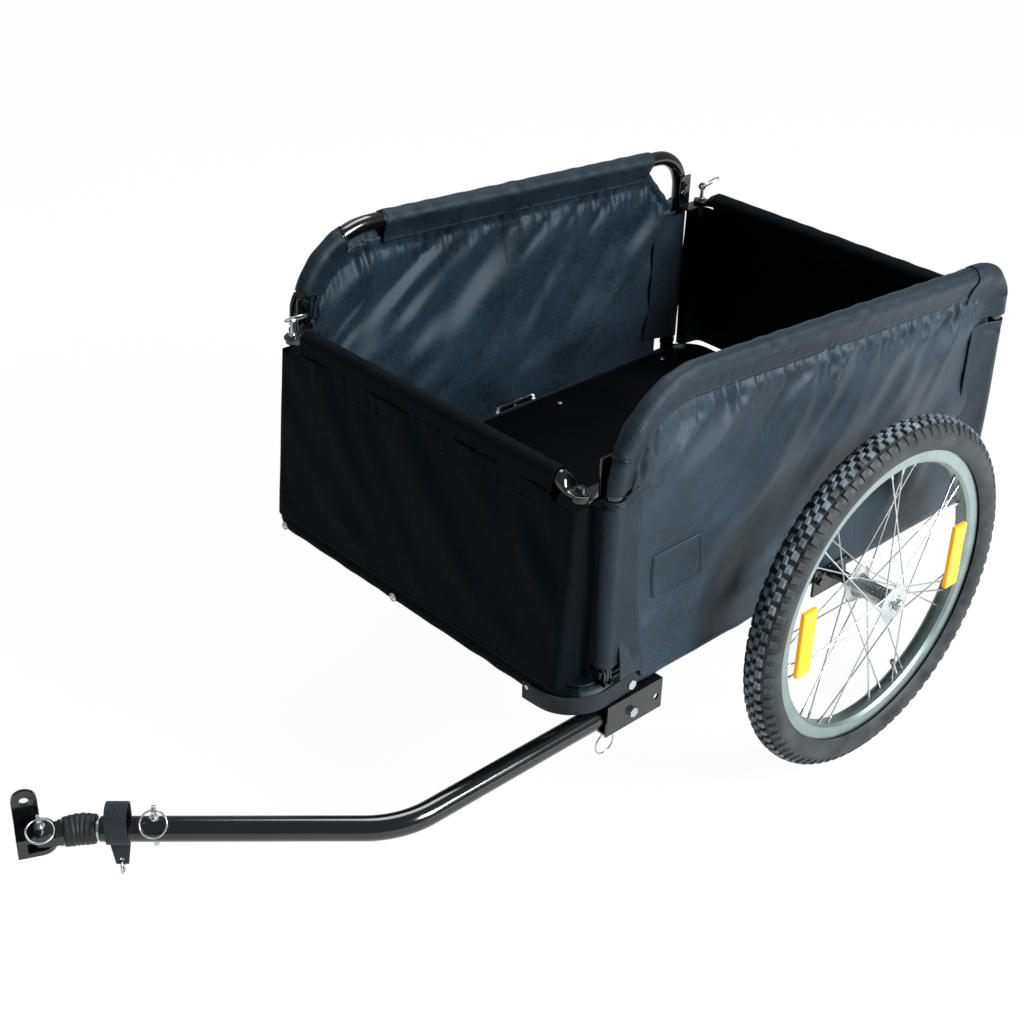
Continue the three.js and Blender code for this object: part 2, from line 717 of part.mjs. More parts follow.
addPart("rear_bar_ring", toRear(turnedAtPin(ringOfPin, eyeTurns.rear)), zinc);
function turnedAtPin(shape, turn) {
  const geometry = (shape.isBufferGeometry ? shape : geometryOf(shape)).clone();
  return geometry.translate(-barPinX, fitY, 0).rotateZ(-turn).translate(barPinX, -fitY, 0);
}

// Tow bracket under the left front corner, open to the inside, so that the arm can swing in
const towRearX = 330;
const towFrontX = 426;
const towPlateT = 3;
const towWebIn = sideY + armR + 2;
const towTopZ = railZ - sleeveOut - seatGap;
const towUnderZ = armZ - armR - 2.2;
const towSpareX = 340;
const towTabHalf = 14;
const towTabRise = 9; // the tab behind the rail, above the rail's middle
const lockPinX = 408;
const pivotBoltHoleR = 5.3;
function towBracket() {
  const innerY = sideY - armR;
  const web = block(v3(towRearX, towWebIn, towUnderZ - towPlateT), v3(towFrontX, towWebIn + towPlateT, towTopZ));
  const tabOut = sideY - tubeR - seatGap;
  const tab = block(
    v3(towBoltX - towTabHalf, tabOut - towPlateT, towTopZ - towPlateT),
    v3(towBoltX + towTabHalf, tabOut, railZ + towTabRise),
  );
  const top = block(v3(towRearX, innerY, towTopZ - towPlateT), v3(towFrontX, towWebIn + cutOver, towTopZ));
  const under = block(v3(towRearX, innerY, towUnderZ - towPlateT), v3(towFrontX, towWebIn + cutOver, towUnderZ));
  const upright = (x, radius) =>
    rod(v3(x, sideY, towUnderZ - towPlateT - cutOver), v3(x, sideY, towTopZ + cutOver), radius, 12);
  const across = (x, z) =>
    rod(v3(x, tabOut - towPlateT - cutOver, z), v3(x, towWebIn + towPlateT + cutOver, z), towBoltR + runGap, 12);
  return cut(
    joined(web, top, under, tab),
    upright(armPivotX, pivotBoltHoleR),
    upright(lockPinX, pinR + runGap),
    across(towBoltX, railZ),
    across(towBoltX, armZ),
    across(towSpareX, armZ),
  );
}
function towBolt(z, from, face) {
  const shank = rod(v3(towBoltX, from, z), v3(towBoltX, face + boltHeadH / 2, z), towBoltR, 12);
  const head = rod(v3(towBoltX, face, z), v3(towBoltX, face + boltHeadH, z), boltHeadR + 1, 6);
  return joined(shank, head);
}
function armPivotBolt() {
  const [low, high] = [towUnderZ - towPlateT - seatGap, towTopZ - seatGap];
  const shank = rod(v3(armPivotX, sideY, low), v3(armPivotX, sideY, high), pivotBoltHoleR - runGap, 16);
  const head = rod(v3(armPivotX, sideY, low - boltHeadH), v3(armPivotX, sideY, low), boltHeadR + 2, 6);
  return joined(shank, head);
}
addPart("tow_bracket", towBracket(), blackPaint);
const railBolt = towBolt(railZ, sideY - tubeR - towPlateT, sideY + sleeveOut + seatGap);
const webBolt = towBolt(armZ, towWebIn + seatGap, towWebIn + towPlateT + seatGap);
addPart("tow_bracket_bolt_upper", railBolt, zinc);
addPart("tow_bracket_bolt_lower", webBolt, zinc);
addPart("arm_pivot_bolt", armPivotBolt(), zinc);

// Lock pin of the arm, pushed up from below, with its ring hanging
const lockEyeZ = towUnderZ - towPlateT - 14;
const lockPin = eyePin(lockPinX, sideY, armZ - armR - seatGap, towUnderZ - towPlateT - seatGap, lockEyeZ, -1);
addPart("arm_lock_pin", lockPin, zinc);
addPart("arm_lock_ring", pullRing(lockPinX, sideY, lockEyeZ, -Math.PI / 2), zinc);

// Tow arm: a straight run along the left side, one bend inward, and an open end for the coupling
const armDir = v3(Math.cos(armTurn), -Math.sin(armTurn), 0);
const armCorner = v3(armCornerX, sideY, armZ);
const armEnd = armCorner.clone().addScaledVector(armDir, armRunOut);
const hitchPinBack = 60;
const hitchPinAt = armEnd.clone().addScaledVector(armDir, -hitchPinBack);
const armBoreR = 12;
const armBoreDepth = 95;
function towArm() {
  const line = new BentLine([v3(armPivotX, sideY, armZ), armCorner, armEnd], [armBendR], 6);
  const tube = swept(line, roundSection(armR, 16));
  const bush = rod(v3(armPivotX, sideY, armZ - armR), v3(armPivotX, sideY, armZ + armR), armR, 20);
  const bore = rod(
    armEnd.clone().addScaledVector(armDir, -armBoreDepth),
    armEnd.clone().addScaledVector(armDir, cutOver),
    armBoreR,
    20,
  );
  const upright = (at, radius) =>
    rod(v3(at.x, at.y, armZ - armR - cutOver), v3(at.x, at.y, armZ + armR + cutOver), radius, 16);
  return cut(
    joined(tube, bush),
    bore,
    upright(v3(armPivotX, sideY, armZ), pivotBoltHoleR),
    upright(hitchPinAt, pinR + runGap),
  );
}
addPart("tow_arm", towArm(), blackPaint);

// Coupling: a steel plug in the arm's open end, a rubber neck, and a steel eye for the swivel pin
const plugR = armBoreR - runGap;
const hitchDir = v3(Math.cos(hitchTurn), -Math.sin(hitchTurn), 0);
const neckStart = armEnd.clone().addScaledVector(armDir, plugLip + seatGap);
const neckMid = neckStart.clone().addScaledVector(armDir, neckLength / 2);
const neckEnd = neckMid.clone().addScaledVector(hitchDir, neckLength / 2);
function couplingPlug() {
  const start = armEnd.clone().addScaledVector(armDir, -plugBack);
  const plug = rod(start, armEnd.clone().addScaledVector(armDir, plugLip), plugR, 16);
  const pinHole = rod(
    v3(hitchPinAt.x, hitchPinAt.y, armZ - armR),
    v3(hitchPinAt.x, hitchPinAt.y, armZ + armR),
    pinR + runGap,
    16,
  );
  return cut(plug, pinHole);
}
addPart("coupling_plug", couplingPlug(), zinc);
addPart(
  "coupling_neck",
  swept(new BentLine([neckStart, neckMid, neckEnd], [neckLength], 3), roundSection(neckR, 16)),
  softRubber,
);

// What sits near the arm's end is drawn along X back from that end, then turned into place
function atArmEnd(solid) {
  const geometry = geometryOf(solid);
  geometry.rotateZ(-armTurn);
  return geometry.translate(armEnd.x, armEnd.y, armEnd.z);
}
const hitchEyeZ = armR + 12;
const hitchPinFoot = 8; // the pin comes out under the arm
const hitchPin = eyePin(-hitchPinBack, 0, -armR - hitchPinFoot, armR + seatGap, hitchEyeZ, 1);
addPart("hitch_pin", atArmEnd(hitchPin), zinc);
const hitchRing = joined(pullRing(-hitchPinBack, 0, hitchEyeZ, THREE.MathUtils.degToRad(-50)));
addPart("hitch_pin_ring", atArmEnd(hitchRing), zinc);

// What lies past the neck is drawn along X from the neck's end, then turned into place
function atHitch(solid) {
  const geometry = geometryOf(solid);
  geometry.rotateZ(-hitchTurn);
  return geometry.translate(neckEnd.x, neckEnd.y, neckEnd.z);
}
const eyeHalfT = 6;
const eyeLobeR = 14;
const eyeFlangeT = 4;
const eyeFlangeR = 15;
const swivelPinR = 4;
const swivelPlay = 1; // the eye turns loosely on its pin
function couplingEye() {
  const flange = rod(v3(seatGap, 0, 0), v3(seatGap + eyeFlangeT, 0, 0), eyeFlangeR, 16);
  const shank = block(v3(eyeFlangeT / 2, -eyeLobeR, -eyeHalfT), v3(eyePinX, eyeLobeR, eyeHalfT));
  const lobe = rod(v3(eyePinX, 0, -eyeHalfT), v3(eyePinX, 0, eyeHalfT), eyeLobeR, 20);
  const hole = rod(v3(eyePinX, 0, -neckR), v3(eyePinX, 0, neckR), swivelPinR + swivelPlay, 12);
  return cut(joined(flange, shank, lobe), hole);
}
addPart("coupling_eye", atHitch(couplingEye()), blackPaint);

// Axle hitch: a forged fork round the eye and a plate for the wheel axle
const forkHalfW = 17;
const cheekT = 6;
const webGap = 1;
const plateT = 5;
const plateHalf = 14;
const axleHoleR = 5.4;
const plateReach = 42; // axle above the coupling
const cheekIn = eyeHalfT + runGap;
const blockHalfH = cheekIn + cheekT;
function hitchBlock() {
  const front = eyePinX + blockFront;
  const cheeks = [cheekIn, -blockHalfH].map((z) =>
    joined(
      rod(v3(eyePinX, 0, z), v3(eyePinX, 0, z + cheekT), forkHalfW, 20),
      block(v3(eyePinX, -forkHalfW, z), v3(front, forkHalfW, z + cheekT)),
    ),
  );
  const web = block(
    v3(eyePinX + eyeLobeR + webGap, -forkHalfW, -blockHalfH),
    v3(front, forkHalfW, blockHalfH),
  );
  const shape = new THREE.Shape();
  shape.moveTo(-plateHalf, cheekIn);
  shape.lineTo(plateHalf, cheekIn);
  shape.lineTo(plateHalf, plateReach);
  shape.absarc(0, plateReach, plateHalf, 0, Math.PI, false);
  shape.closePath();
  const axleHole = new THREE.Path();
  axleHole.absarc(0, plateReach, axleHoleR, 0, 2 * Math.PI, true);
  shape.holes.push(axleHole);
  const plate = new THREE.ExtrudeGeometry(shape, { depth: plateT, bevelEnabled: false, curveSegments: 8 });
  plate.rotateX(Math.PI / 2);
  plate.translate(front - plateHalf, -forkHalfW + plateT, 0);
  const hole = rod(v3(eyePinX, 0, -2 * blockHalfH), v3(eyePinX, 0, 2 * blockHalfH), swivelPinR + runGap, 12);
  return cut(joined(...cheeks, web, plate), hole);
}
addPart("hitch_block", atHitch(hitchBlock()), blackPaint);

const swivelEyeZ = blockHalfH + 12;
const swivelPin = eyePin(eyePinX, 0, -blockHalfH - 6, blockHalfH + seatGap, swivelEyeZ, 1, swivelPinR);
addPart("swivel_pin", atHitch(swivelPin), zinc);
const swivelRing = joined(pullRing(eyePinX, 0, swivelEyeZ, THREE.MathUtils.degToRad(-20)));
addPart("swivel_pin_ring", atHitch(swivelRing), zinc);

// Safety strap: a webbing loop round the arm near its end, with a tail and a snap hook
const strapT = 2.5;
const strapHalf = 12;
const strapBack = 20; // middle of the strap behind the arm's end
const strapSlack = 17; // the loop stands this far above the arm
const tailDrop = 34;
const tailFootHalf = 7;
const hookHoleR = 3;
const hookR = 8;
const hookWireR = 1.5;
function safetyStrap() {
  const stadium = (shape, r) => {
    shape.absarc(0, strapSlack, r, 0, Math.PI, false);
    shape.absarc(0, 0, r, Math.PI, 2 * Math.PI, false);
    shape.closePath();
    return shape;
  };
  const innerR = (armR + seatGap) / Math.cos(Math.PI / 16);
  const shape = stadium(new THREE.Shape(), innerR + strapT);
  shape.holes.push(stadium(new THREE.Path(), innerR));
  const loop = new THREE.ExtrudeGeometry(shape, { depth: 2 * strapHalf, bevelEnabled: false, curveSegments: 8 });
  loop.rotateX(Math.PI / 2).rotateZ(Math.PI / 2);
  loop.translate(-strapBack - strapHalf, 0, 0);
  const top = -innerR - strapT / 2;
  const tail = slab(
    [
      [-strapBack - strapHalf, top],
      [-strapBack - tailFootHalf, top - tailDrop],
      [-strapBack + tailFootHalf, top - tailDrop],
      [-strapBack + strapHalf, top],
    ],
    -strapT / 2,
    strapT / 2,
  );
  const holeZ = top - tailDrop + 2 * hookHoleR;
  const hole = rod(v3(-strapBack, -strapT, holeZ), v3(-strapBack, strapT, holeZ), hookHoleR, 10);
  return { strap: cut(joined(loop, tail), hole), holeZ };
}
const { strap, holeZ: hookHoleZ } = safetyStrap();
addPart("safety_strap", atArmEnd(strap), clothDark);
const hook = new THREE.TorusGeometry(hookR, hookWireR, 5, 16).rotateY(Math.PI / 2);
hook.translate(-strapBack, 0, hookHoleZ - hookR - (hookHoleR - hookWireR - seatGap));
addPart("strap_hook", atArmEnd(joined(hook)), zinc);

// Axle bracket and stub axle, left; the right ones are mirror images
const axlePlateT = 4;
const axlePlateIn = sideY + sleeveOut + seatGap;
const axlePlateHalf = 34;
const axlePlateDrop = 26;
const bossR = 8;
const hubHalf = 34; // hub's length either side of the wheel's middle plane
const hubInY = wheelY - hubHalf;
const hubOutY = wheelY + hubHalf;
const bossEnd = hubInY - 6;
function axleBracket() {
  const topZ = railZ + hemTopZ;
  const plate = block(
    v3(-axlePlateHalf, axlePlateIn, railZ - axlePlateDrop),
    v3(axlePlateHalf, axlePlateIn + axlePlateT, topZ),
  );
  const boss = rod(v3(0, axlePlateIn + axlePlateT / 2, axleZ), v3(0, bossEnd, axleZ), bossR + 1.5, 16, bossR);
  const bore = rod(v3(0, axlePlateIn - cutOver, axleZ), v3(0, bossEnd + cutOver, axleZ), axleR + seatGap, 16);
  const heads = [-1, 1].map((s) =>
    rod(
      v3(s * axlePlateHalf * 0.68, axlePlateIn + axlePlateT / 2, railZ - 4),
      v3(s * axlePlateHalf * 0.68, axlePlateIn + axlePlateT + boltHeadH, railZ - 4),
      boltHeadR,
      6,
    ),
  );
  return cut(joined(plate, boss, ...heads), bore);
}
const capLength = 9;
function stubAxle() {
  const shaft = rod(v3(0, axlePlateIn + seatGap, axleZ), v3(0, hubOutY + capLength, axleZ), axleR, 16);
  const collar = rod(v3(0, bossEnd + seatGap, axleZ), v3(0, hubInY - runGap, axleZ), axleR + 3.5, 16);
  const nut = rod(v3(0, hubOutY + runGap, axleZ), v3(0, hubOutY + runGap + 7, axleZ), axleR + 3, 6);
  return joined(shaft, collar, nut);
}

// Wheel: tyre with tread blocks, box rim, and a hub with crossed spokes
const treadBlocks = 26;
const treadDepth = 4;
function tyre() {
  // a grid of rings: each ring is the tyre's cross-section, high or low by turns for the tread blocks
  const steps = treadBlocks * 2;
  const half = tyreW / 2;
  const bodyMid = tyreR - half;
  const sectionShares = [-0.41, -0.26, -0.09, 0.09, 0.26, 0.41];
  const positions = [];
  const index = [];
  const beadIn = rimSeatR + seatGap;
  const beadHalf = rimW / 2 - rimWall - seatGap;
  const rows = sectionShares.length + 4;
  for (let i = 0; i < steps; i++) {
    const around = (2 * Math.PI * i) / steps - Math.PI / 2;
    const ring = [];
    ring.push([beadIn, -beadHalf], [rimLipR + seatGap, -beadHalf]);
    sectionShares.forEach((share) => {
      const angle = share * 1.55 * Math.PI;
      const crown = Math.abs(share) < 0.2;
      const raised = crown ? (i + (share > 0 ? 1 : 0)) % 2 === 0 : i % 2 === 0 && Math.abs(share) < 0.35;
      const r = half - (Math.abs(share) > 0.4 || raised ? 0 : treadDepth);
      const centreBlock = Math.abs(share) < 0.1;
      const reach = centreBlock ? r : r * Math.cos(angle);
      ring.push([bodyMid + reach, r * Math.sin(angle)]);
    });
    ring.push([rimLipR + seatGap, beadHalf], [beadIn, beadHalf]);
    for (const [r, y] of ring) {
      positions.push(r * Math.cos(around), y + wheelY, r * Math.sin(around) + axleZ);
    }
  }
  for (let i = 0; i < steps; i++) {
    const next = (i + 1) % steps;
    for (let k = 0; k < rows; k++) {
      const kn = (k + 1) % rows;
      const [a, b, c, d] = [i * rows + k, next * rows + k, next * rows + kn, i * rows + kn];
      index.push(a, c, b, a, d, c);
    }
  }
  const geometry = new THREE.BufferGeometry();
  geometry.setAttribute("position", new THREE.Float32BufferAttribute(positions, 3));
  geometry.setIndex(index);
  return geometry;
}

const rimFacets = treadBlocks; // so that the tyre's rings meet the rim's corners
function rim() {
  const half = rimW / 2;
  const inner = rimSeatR - rimDepth;
  const profile = [
    [inner, -5],
    [rimSeatR - 3, -half],
    [rimLipR, -half],
    [rimLipR, -half + rimWall],
    [rimSeatR, -half + rimWall],
    [rimSeatR, half - rimWall],
    [rimLipR, half - rimWall],
    [rimLipR, half],
    [rimSeatR - 3, half],
    [inner, 5],
    [inner, -5],
  ];
  const ring = turned(profile, rimFacets, v3(0, wheelY, axleZ));
  const valve = rod(v3(0, wheelY, axleZ + inner - 32), v3(0, wheelY, axleZ + inner + 3), 3, 10);
  return joined(ring, valve);
}

function hubAndSpokes() {
  const bore = axleR + runGap;
  const lip = 3;
  const end = hubHalf;
  const profile = [
    [bore, -end],
    [hubShellR - 2, -end],
    [hubShellR, -flangeOut - lip],
    [flangeR, -flangeOut - 1.5],
    [flangeR, -flangeOut + 1.5],
    [hubShellR, -flangeOut + lip + 2],
    [hubShellR - 1, 0],
    [hubShellR, flangeOut - lip - 2],
    [flangeR, flangeOut - 1.5],
    [flangeR, flangeOut + 1.5],
    [hubShellR, flangeOut + lip],
    [hubShellR - 2, end],
    [bore, end],
    [bore, -end],
  ];
  const hub = turned(profile, 12, v3(0, wheelY, axleZ));
  const spokes = [];
  const spokeHoleR = flangeR - 3;
  const rimHoleR = (rimSeatR - rimDepth) * Math.cos(Math.PI / rimFacets) - seatGap;
  const total = 2 * spokesPerFlange;
  const crossing = THREE.MathUtils.degToRad(68);
  const spokeFace = 2.3; // spokes leave the two faces of a flange by turns
  const nippleOut = 1.5; // spoke holes either side of the rim's middle
  for (let i = 0; i < total; i++) {
    const side = i % 2 ? 1 : -1;
    const lead = i % 4 < 2 ? 1 : -1;
    const rimAngle = (2 * Math.PI * (i + 0.5)) / total;
    const hubAngle = rimAngle + lead * crossing;
    const headY = side * flangeOut + lead * spokeFace;
    const from = v3(spokeHoleR * Math.cos(hubAngle), headY, spokeHoleR * Math.sin(hubAngle));
    const to = v3(rimHoleR * Math.cos(rimAngle), side * nippleOut, rimHoleR * Math.sin(rimAngle));
    spokes.push(rod(from.add(v3(0, wheelY, axleZ)), to.add(v3(0, wheelY, axleZ)), spokeR, 3));
  }
  return joined(hub, ...spokes);
}

// Reflector clipped on the outside of the spokes near the rim
const reflectorLength = 98;
const reflectorWidth = 27;
const reflectorT = 7;
const reflectorRimGap = 14.5;
const reflectorR = rimSeatR - rimDepth - reflectorRimGap - reflectorWidth / 2;
const frontSpokeRise = 1.8; // the spokes that carry it lie this far outside the flange's own slope
const rearSpokeRise = 2.9;
function reflector(ahead) {
  const spokeSlope = flangeOut / (rimSeatR - rimDepth);
  const spokeY = spokeSlope * (rimSeatR - rimDepth - reflectorR + reflectorWidth / 2);
  const seat = wheelY + spokeY + (ahead > 0 ? frontSpokeRise : rearSpokeRise);
  const bar = block(
    v3(reflectorR - reflectorWidth / 2, seat, axleZ - reflectorLength / 2),
    v3(reflectorR + reflectorWidth / 2, seat + reflectorT, axleZ + reflectorLength / 2),
  );
  return ahead > 0 ? bar : mirrorX(bar);
}

const wheelParts = {
  axle_bracket: [axleBracket(), blackPaint],
  stub_axle: [stubAxle(), zinc],
  tyre: [tyre(), tyreRubber],
  rim: [rim(), alloy],
  hub: [hubAndSpokes(), zinc],
  reflector_front: [reflector(1), amber],
  reflector_rear: [reflector(-1), amber],
};
for (const [name, [shape, material]] of Object.entries(wheelParts)) {
  addPart(`left_${name}`, shape.isBufferGeometry ? shape.clone() : shape, material);
  addPart(`right_${name}`, mirrorY(shape), material);
}

// Origin at the middle of the footprint, on the ground
const blockReach = eyePinX + blockFront;
const hitchFront = neckEnd.x + blockReach * Math.cos(hitchTurn) + forkHalfW * Math.sin(hitchTurn);
const rearMost = railRearX - sleeveOut;
trailer.position.x = -(hitchFront + rearMost) / 2;

export default trailer;
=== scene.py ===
# %% [markdown]
# # A bike cargo trailer
# The trailer is a cloth box on a folding tube frame, with two spoked wheels and a bent tow arm.
# The engineering model gives every piece its real size and place. This file gives the pieces
# their looks: fine surfaces, sewn cloth, and the finish of each metal, rubber and plastic.
# Shapes are worked out in millimetres, as a workshop would, with x measured ahead of the axle,
# y from the middle line to the trailer's left and z above the ground.

# %% Load the model
import json
import math

import bmesh
import bpy
import numpy as np
from mathutils import Matrix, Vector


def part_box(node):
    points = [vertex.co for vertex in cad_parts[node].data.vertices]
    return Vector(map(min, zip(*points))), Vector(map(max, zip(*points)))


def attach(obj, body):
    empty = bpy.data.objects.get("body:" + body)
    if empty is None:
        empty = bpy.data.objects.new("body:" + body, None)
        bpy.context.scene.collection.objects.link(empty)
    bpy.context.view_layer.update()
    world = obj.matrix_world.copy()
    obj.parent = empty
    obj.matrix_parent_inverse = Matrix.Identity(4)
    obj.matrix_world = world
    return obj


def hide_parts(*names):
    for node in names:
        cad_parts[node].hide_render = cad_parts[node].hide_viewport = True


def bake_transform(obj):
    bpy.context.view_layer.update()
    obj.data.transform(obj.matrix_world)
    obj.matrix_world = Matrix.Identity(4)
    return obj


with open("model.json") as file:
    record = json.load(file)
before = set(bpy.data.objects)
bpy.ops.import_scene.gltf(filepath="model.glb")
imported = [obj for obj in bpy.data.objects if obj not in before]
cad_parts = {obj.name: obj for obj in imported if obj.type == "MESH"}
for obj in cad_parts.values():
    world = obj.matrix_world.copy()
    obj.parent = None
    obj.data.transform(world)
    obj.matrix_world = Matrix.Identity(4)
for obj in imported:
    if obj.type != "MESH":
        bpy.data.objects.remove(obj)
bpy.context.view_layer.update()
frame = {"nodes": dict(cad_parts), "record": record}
nodes = frame["nodes"]
body_of_node = {n: b for b, members in frame["record"]["behaviour"]["bodies"].items() for n in members}
slot_of_node = {row["node"]: row["material_slot"] for row in frame["record"]["subparts"]}
scene = bpy.context.scene
MM = 0.001
tyre_low, tyre_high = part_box("left_tyre")
AXLE_X = (tyre_low.x + tyre_high.x) / 2 / MM
AXLE_Z = 250.0


def in_frame(points):
    """Workshop millimetres as the frame's metres."""
    return (np.asarray(points, float) + (AXLE_X, 0, 0)) * MM


print("pieces in the model:", len(nodes), "axle, mm from the frame's origin:", round(AXLE_X, 2))

# %% [markdown]
# ## Camera
# A photograph is matched by where the camera stood, where it looked and how long its lens was.
# The place and the angles here were worked out from the bar ends, rails and wheel in the picture.
# The lens is given as its focal length in pixels of a picture 1024 pixels wide.

# %% Camera
PICTURE_SIDE = 1024
FOCAL_PIXELS = 1711.3
CAMERA_PLACE = (1.3084, 1.4169, 1.4797)
AZIMUTH, ELEVATION, ROLL = 136.37, 30.783, 1.674
SENSOR_MM = 36.0


def camera_axes(azimuth, elevation, roll):
    """Right, up and backward of a camera: backward points from the object to the camera, right is
    level, and both are then turned by the roll about the view line."""
    a, e, t = np.radians([azimuth, elevation, roll])
    back = np.array([np.sin(a) * np.cos(e), -np.cos(a) * np.cos(e), np.sin(e)])
    right = np.cross(-back, (0, 0, 1))
    right /= np.linalg.norm(right)
    up = np.cross(back, right)
    return right * np.cos(t) + up * np.sin(t), up * np.cos(t) - right * np.sin(t), back


def stand(made, right, up, back, place):
    """Puts an object in the scene at a place, with these three axes."""
    scene.collection.objects.link(made)
    matrix = Matrix.Identity(4)
    for column, axis in enumerate((right, up, back, place)):
        for row in range(3):
            matrix[row][column] = axis[row]
    made.matrix_world = matrix


camera = bpy.data.objects.new("camera", bpy.data.cameras.new("camera"))
camera.data.sensor_width = SENSOR_MM
camera.data.lens = FOCAL_PIXELS / PICTURE_SIDE * SENSOR_MM
stand(camera, *camera_axes(AZIMUTH, ELEVATION, ROLL), CAMERA_PLACE)
scene.camera = camera
print("lens, mm:", round(camera.data.lens, 2))

# %% [markdown]
# ## Shader tools
# A material or a world in Blender is a tree of nodes, and each node could take four or five lines
# of its own. One small function, which takes a node's settings and its inputs as dictionaries,
# keeps each on a line or two, so that a finish reads from top to bottom.

# %% Shader tools
def set_inputs(tree, node, inputs):
    """Sets a shader node's sockets by name or number: a socket given as a value is linked."""
    for key, value in inputs.items():
        socket = node.inputs[key]
        if isinstance(value, bpy.types.NodeSocket):
            tree.links.new(value, socket)
        else:
            socket.default_value = value


def add_node(tree, kind, settings=None, inputs=None):
    """Adds a shader node: settings are its properties, inputs its sockets."""
    made = tree.nodes.new(kind)
    for key, value in (settings or {}).items():
        setattr(made, key, value)
    set_inputs(tree, made, inputs or {})
    return made


def emptied(made):
    """The node tree of a world or material, without its first nodes."""
    made.use_nodes = True
    made.node_tree.nodes.clear()
    return made.node_tree


def colour(code, alpha=1.0):
    """Linear RGBA of an sRGB hex code: a channel c becomes c / 12.92 below 0.04045, and above it
    ((c + 0.055) / 1.055) to the power 2.4."""
    c = np.array([int(code[i:i + 2], 16) for i in (1, 3, 5)]) / 255
    linear = np.where(c <= 0.04045, c / 12.92, ((c + 0.055) / 1.055) ** 2.4)
    return (*map(float, linear), alpha)


print("mid grey in linear light:", round(colour("#808080")[0], 3))

# %% [markdown]
# ## Light and floor
# The photograph is a cut-out on white with soft light from above and from the trailer's left.
# A grey world gives the plain level. A lamp above and behind gives the line of light on the
# tubes, and a larger one lights the left panel and the inside of the right one. The camera sees
# the world as white, and the gloss sees it a little lighter than the rest does, through Light Path.

# %% World
WORLD_LEVEL, GLOSS_EXTRA = 0.23, 0.13
scene.view_settings.view_transform = "Standard"
scene.world = bpy.data.worlds.new("studio")
tree = emptied(scene.world)
path = add_node(tree, "ShaderNodeLightPath")
strength = add_node(tree, "ShaderNodeMath", {"operation": "MULTIPLY_ADD"},
                    {0: path.outputs["Is Glossy Ray"], 1: GLOSS_EXTRA, 2: WORLD_LEVEL})
shown = add_node(tree, "ShaderNodeMath", {"operation": "MAXIMUM"},
                 {0: path.outputs["Is Camera Ray"], 1: strength.outputs[0]})
mixed = add_node(tree, "ShaderNodeBackground", inputs={"Color": colour("#f7fafd"), "Strength": shown.outputs[0]})
add_node(tree, "ShaderNodeOutputWorld", inputs={"Surface": mixed.outputs[0]})
print("world level:", WORLD_LEVEL, "and in gloss:", round(WORLD_LEVEL + GLOSS_EXTRA, 2))

# %% [markdown]
# Each lamp is a square that gives light from its whole face. Its size sets how soft the shadows
# are, and its place sets where the lines of light lie on the tubes.

# %% Lamps
def add_lamp(name, place, target, size, power):
    """A square area lamp at a place, turned so that it shines at a target."""
    lamp = bpy.data.objects.new(name, bpy.data.lights.new(name, "AREA"))
    lamp.data.size = size
    lamp.data.energy = power
    back = np.subtract(place, target) / np.linalg.norm(np.subtract(place, target))
    side = np.cross((0, 1, 0), back)
    side /= np.linalg.norm(side)
    stand(lamp, side, np.cross(back, side), back, place)


add_lamp("lamp_above", (-0.9, -0.9, 2.9), (0.2, 0, 0.3), 1.3, 48)
add_lamp("lamp_side", (-1.54, 3.96, 3.0), (-0.1, 0, 0.35), 1.5, 430)

# %% [markdown]
# The floor is one large square at z = 0. A matte white floor would look grey where the light is
# plain, so the camera sees it glow, and sees only a little of the matte face and its shadows.

# %% Floor
FLOOR_GLOW, FLOOR_HALF = 0.97, 9.0
floor_mesh = bpy.data.meshes.new("floor")
corners = [(x * FLOOR_HALF, y * FLOOR_HALF, 0) for x, y in ((-1, -1), (1, -1), (1, 1), (-1, 1))]
floor_mesh.from_pydata(corners, [], [(0, 1, 2, 3)])
floor = bpy.data.objects.new("floor", floor_mesh)
scene.collection.objects.link(floor)
floor_look = bpy.data.materials.new("studio_floor")
tree = emptied(floor_look)
path = add_node(tree, "ShaderNodeLightPath")
shown = add_node(tree, "ShaderNodeMath", {"operation": "MULTIPLY"},
                 {0: path.outputs["Is Camera Ray"], 1: FLOOR_GLOW})
matte = add_node(tree, "ShaderNodeBsdfDiffuse", inputs={"Color": colour("#f2f2f2")})
glow = add_node(tree, "ShaderNodeEmission", inputs={"Color": colour("#ffffff"), "Strength": 1.0})
mixed = add_node(tree, "ShaderNodeMixShader",
                 inputs={0: shown.outputs[0], 1: matte.outputs[0], 2: glow.outputs[0]})
add_node(tree, "ShaderNodeOutputMaterial", inputs={"Surface": mixed.outputs[0]})
floor_mesh.materials.append(floor_look)
print("floor, metres:", 2 * FLOOR_HALF)

# %% [markdown]
# ## Finishes
# Each finish starts from the real material. The steel tubes are coated gloss black, the small
# fittings are zinc plated, the rims are plain satin aluminium and the cloth is coated polyester.
# A finish is a Principled shader whose colour, roughness and bump come from patterns on the
# object's own coordinates, at scales worked out from real sizes.

# %% Start and end of a finish
def new_finish(name):
    """A material with one Principled shader: gives the material, its tree, the shader, and the
    coordinates that the patterns read."""
    made = bpy.data.materials.new(name)
    tree = emptied(made)
    shader = add_node(tree, "ShaderNodeBsdfPrincipled")
    add_node(tree, "ShaderNodeOutputMaterial", inputs={"Surface": shader.outputs[0]})
    return made, tree, shader, add_node(tree, "ShaderNodeTexCoord").outputs["Object"]


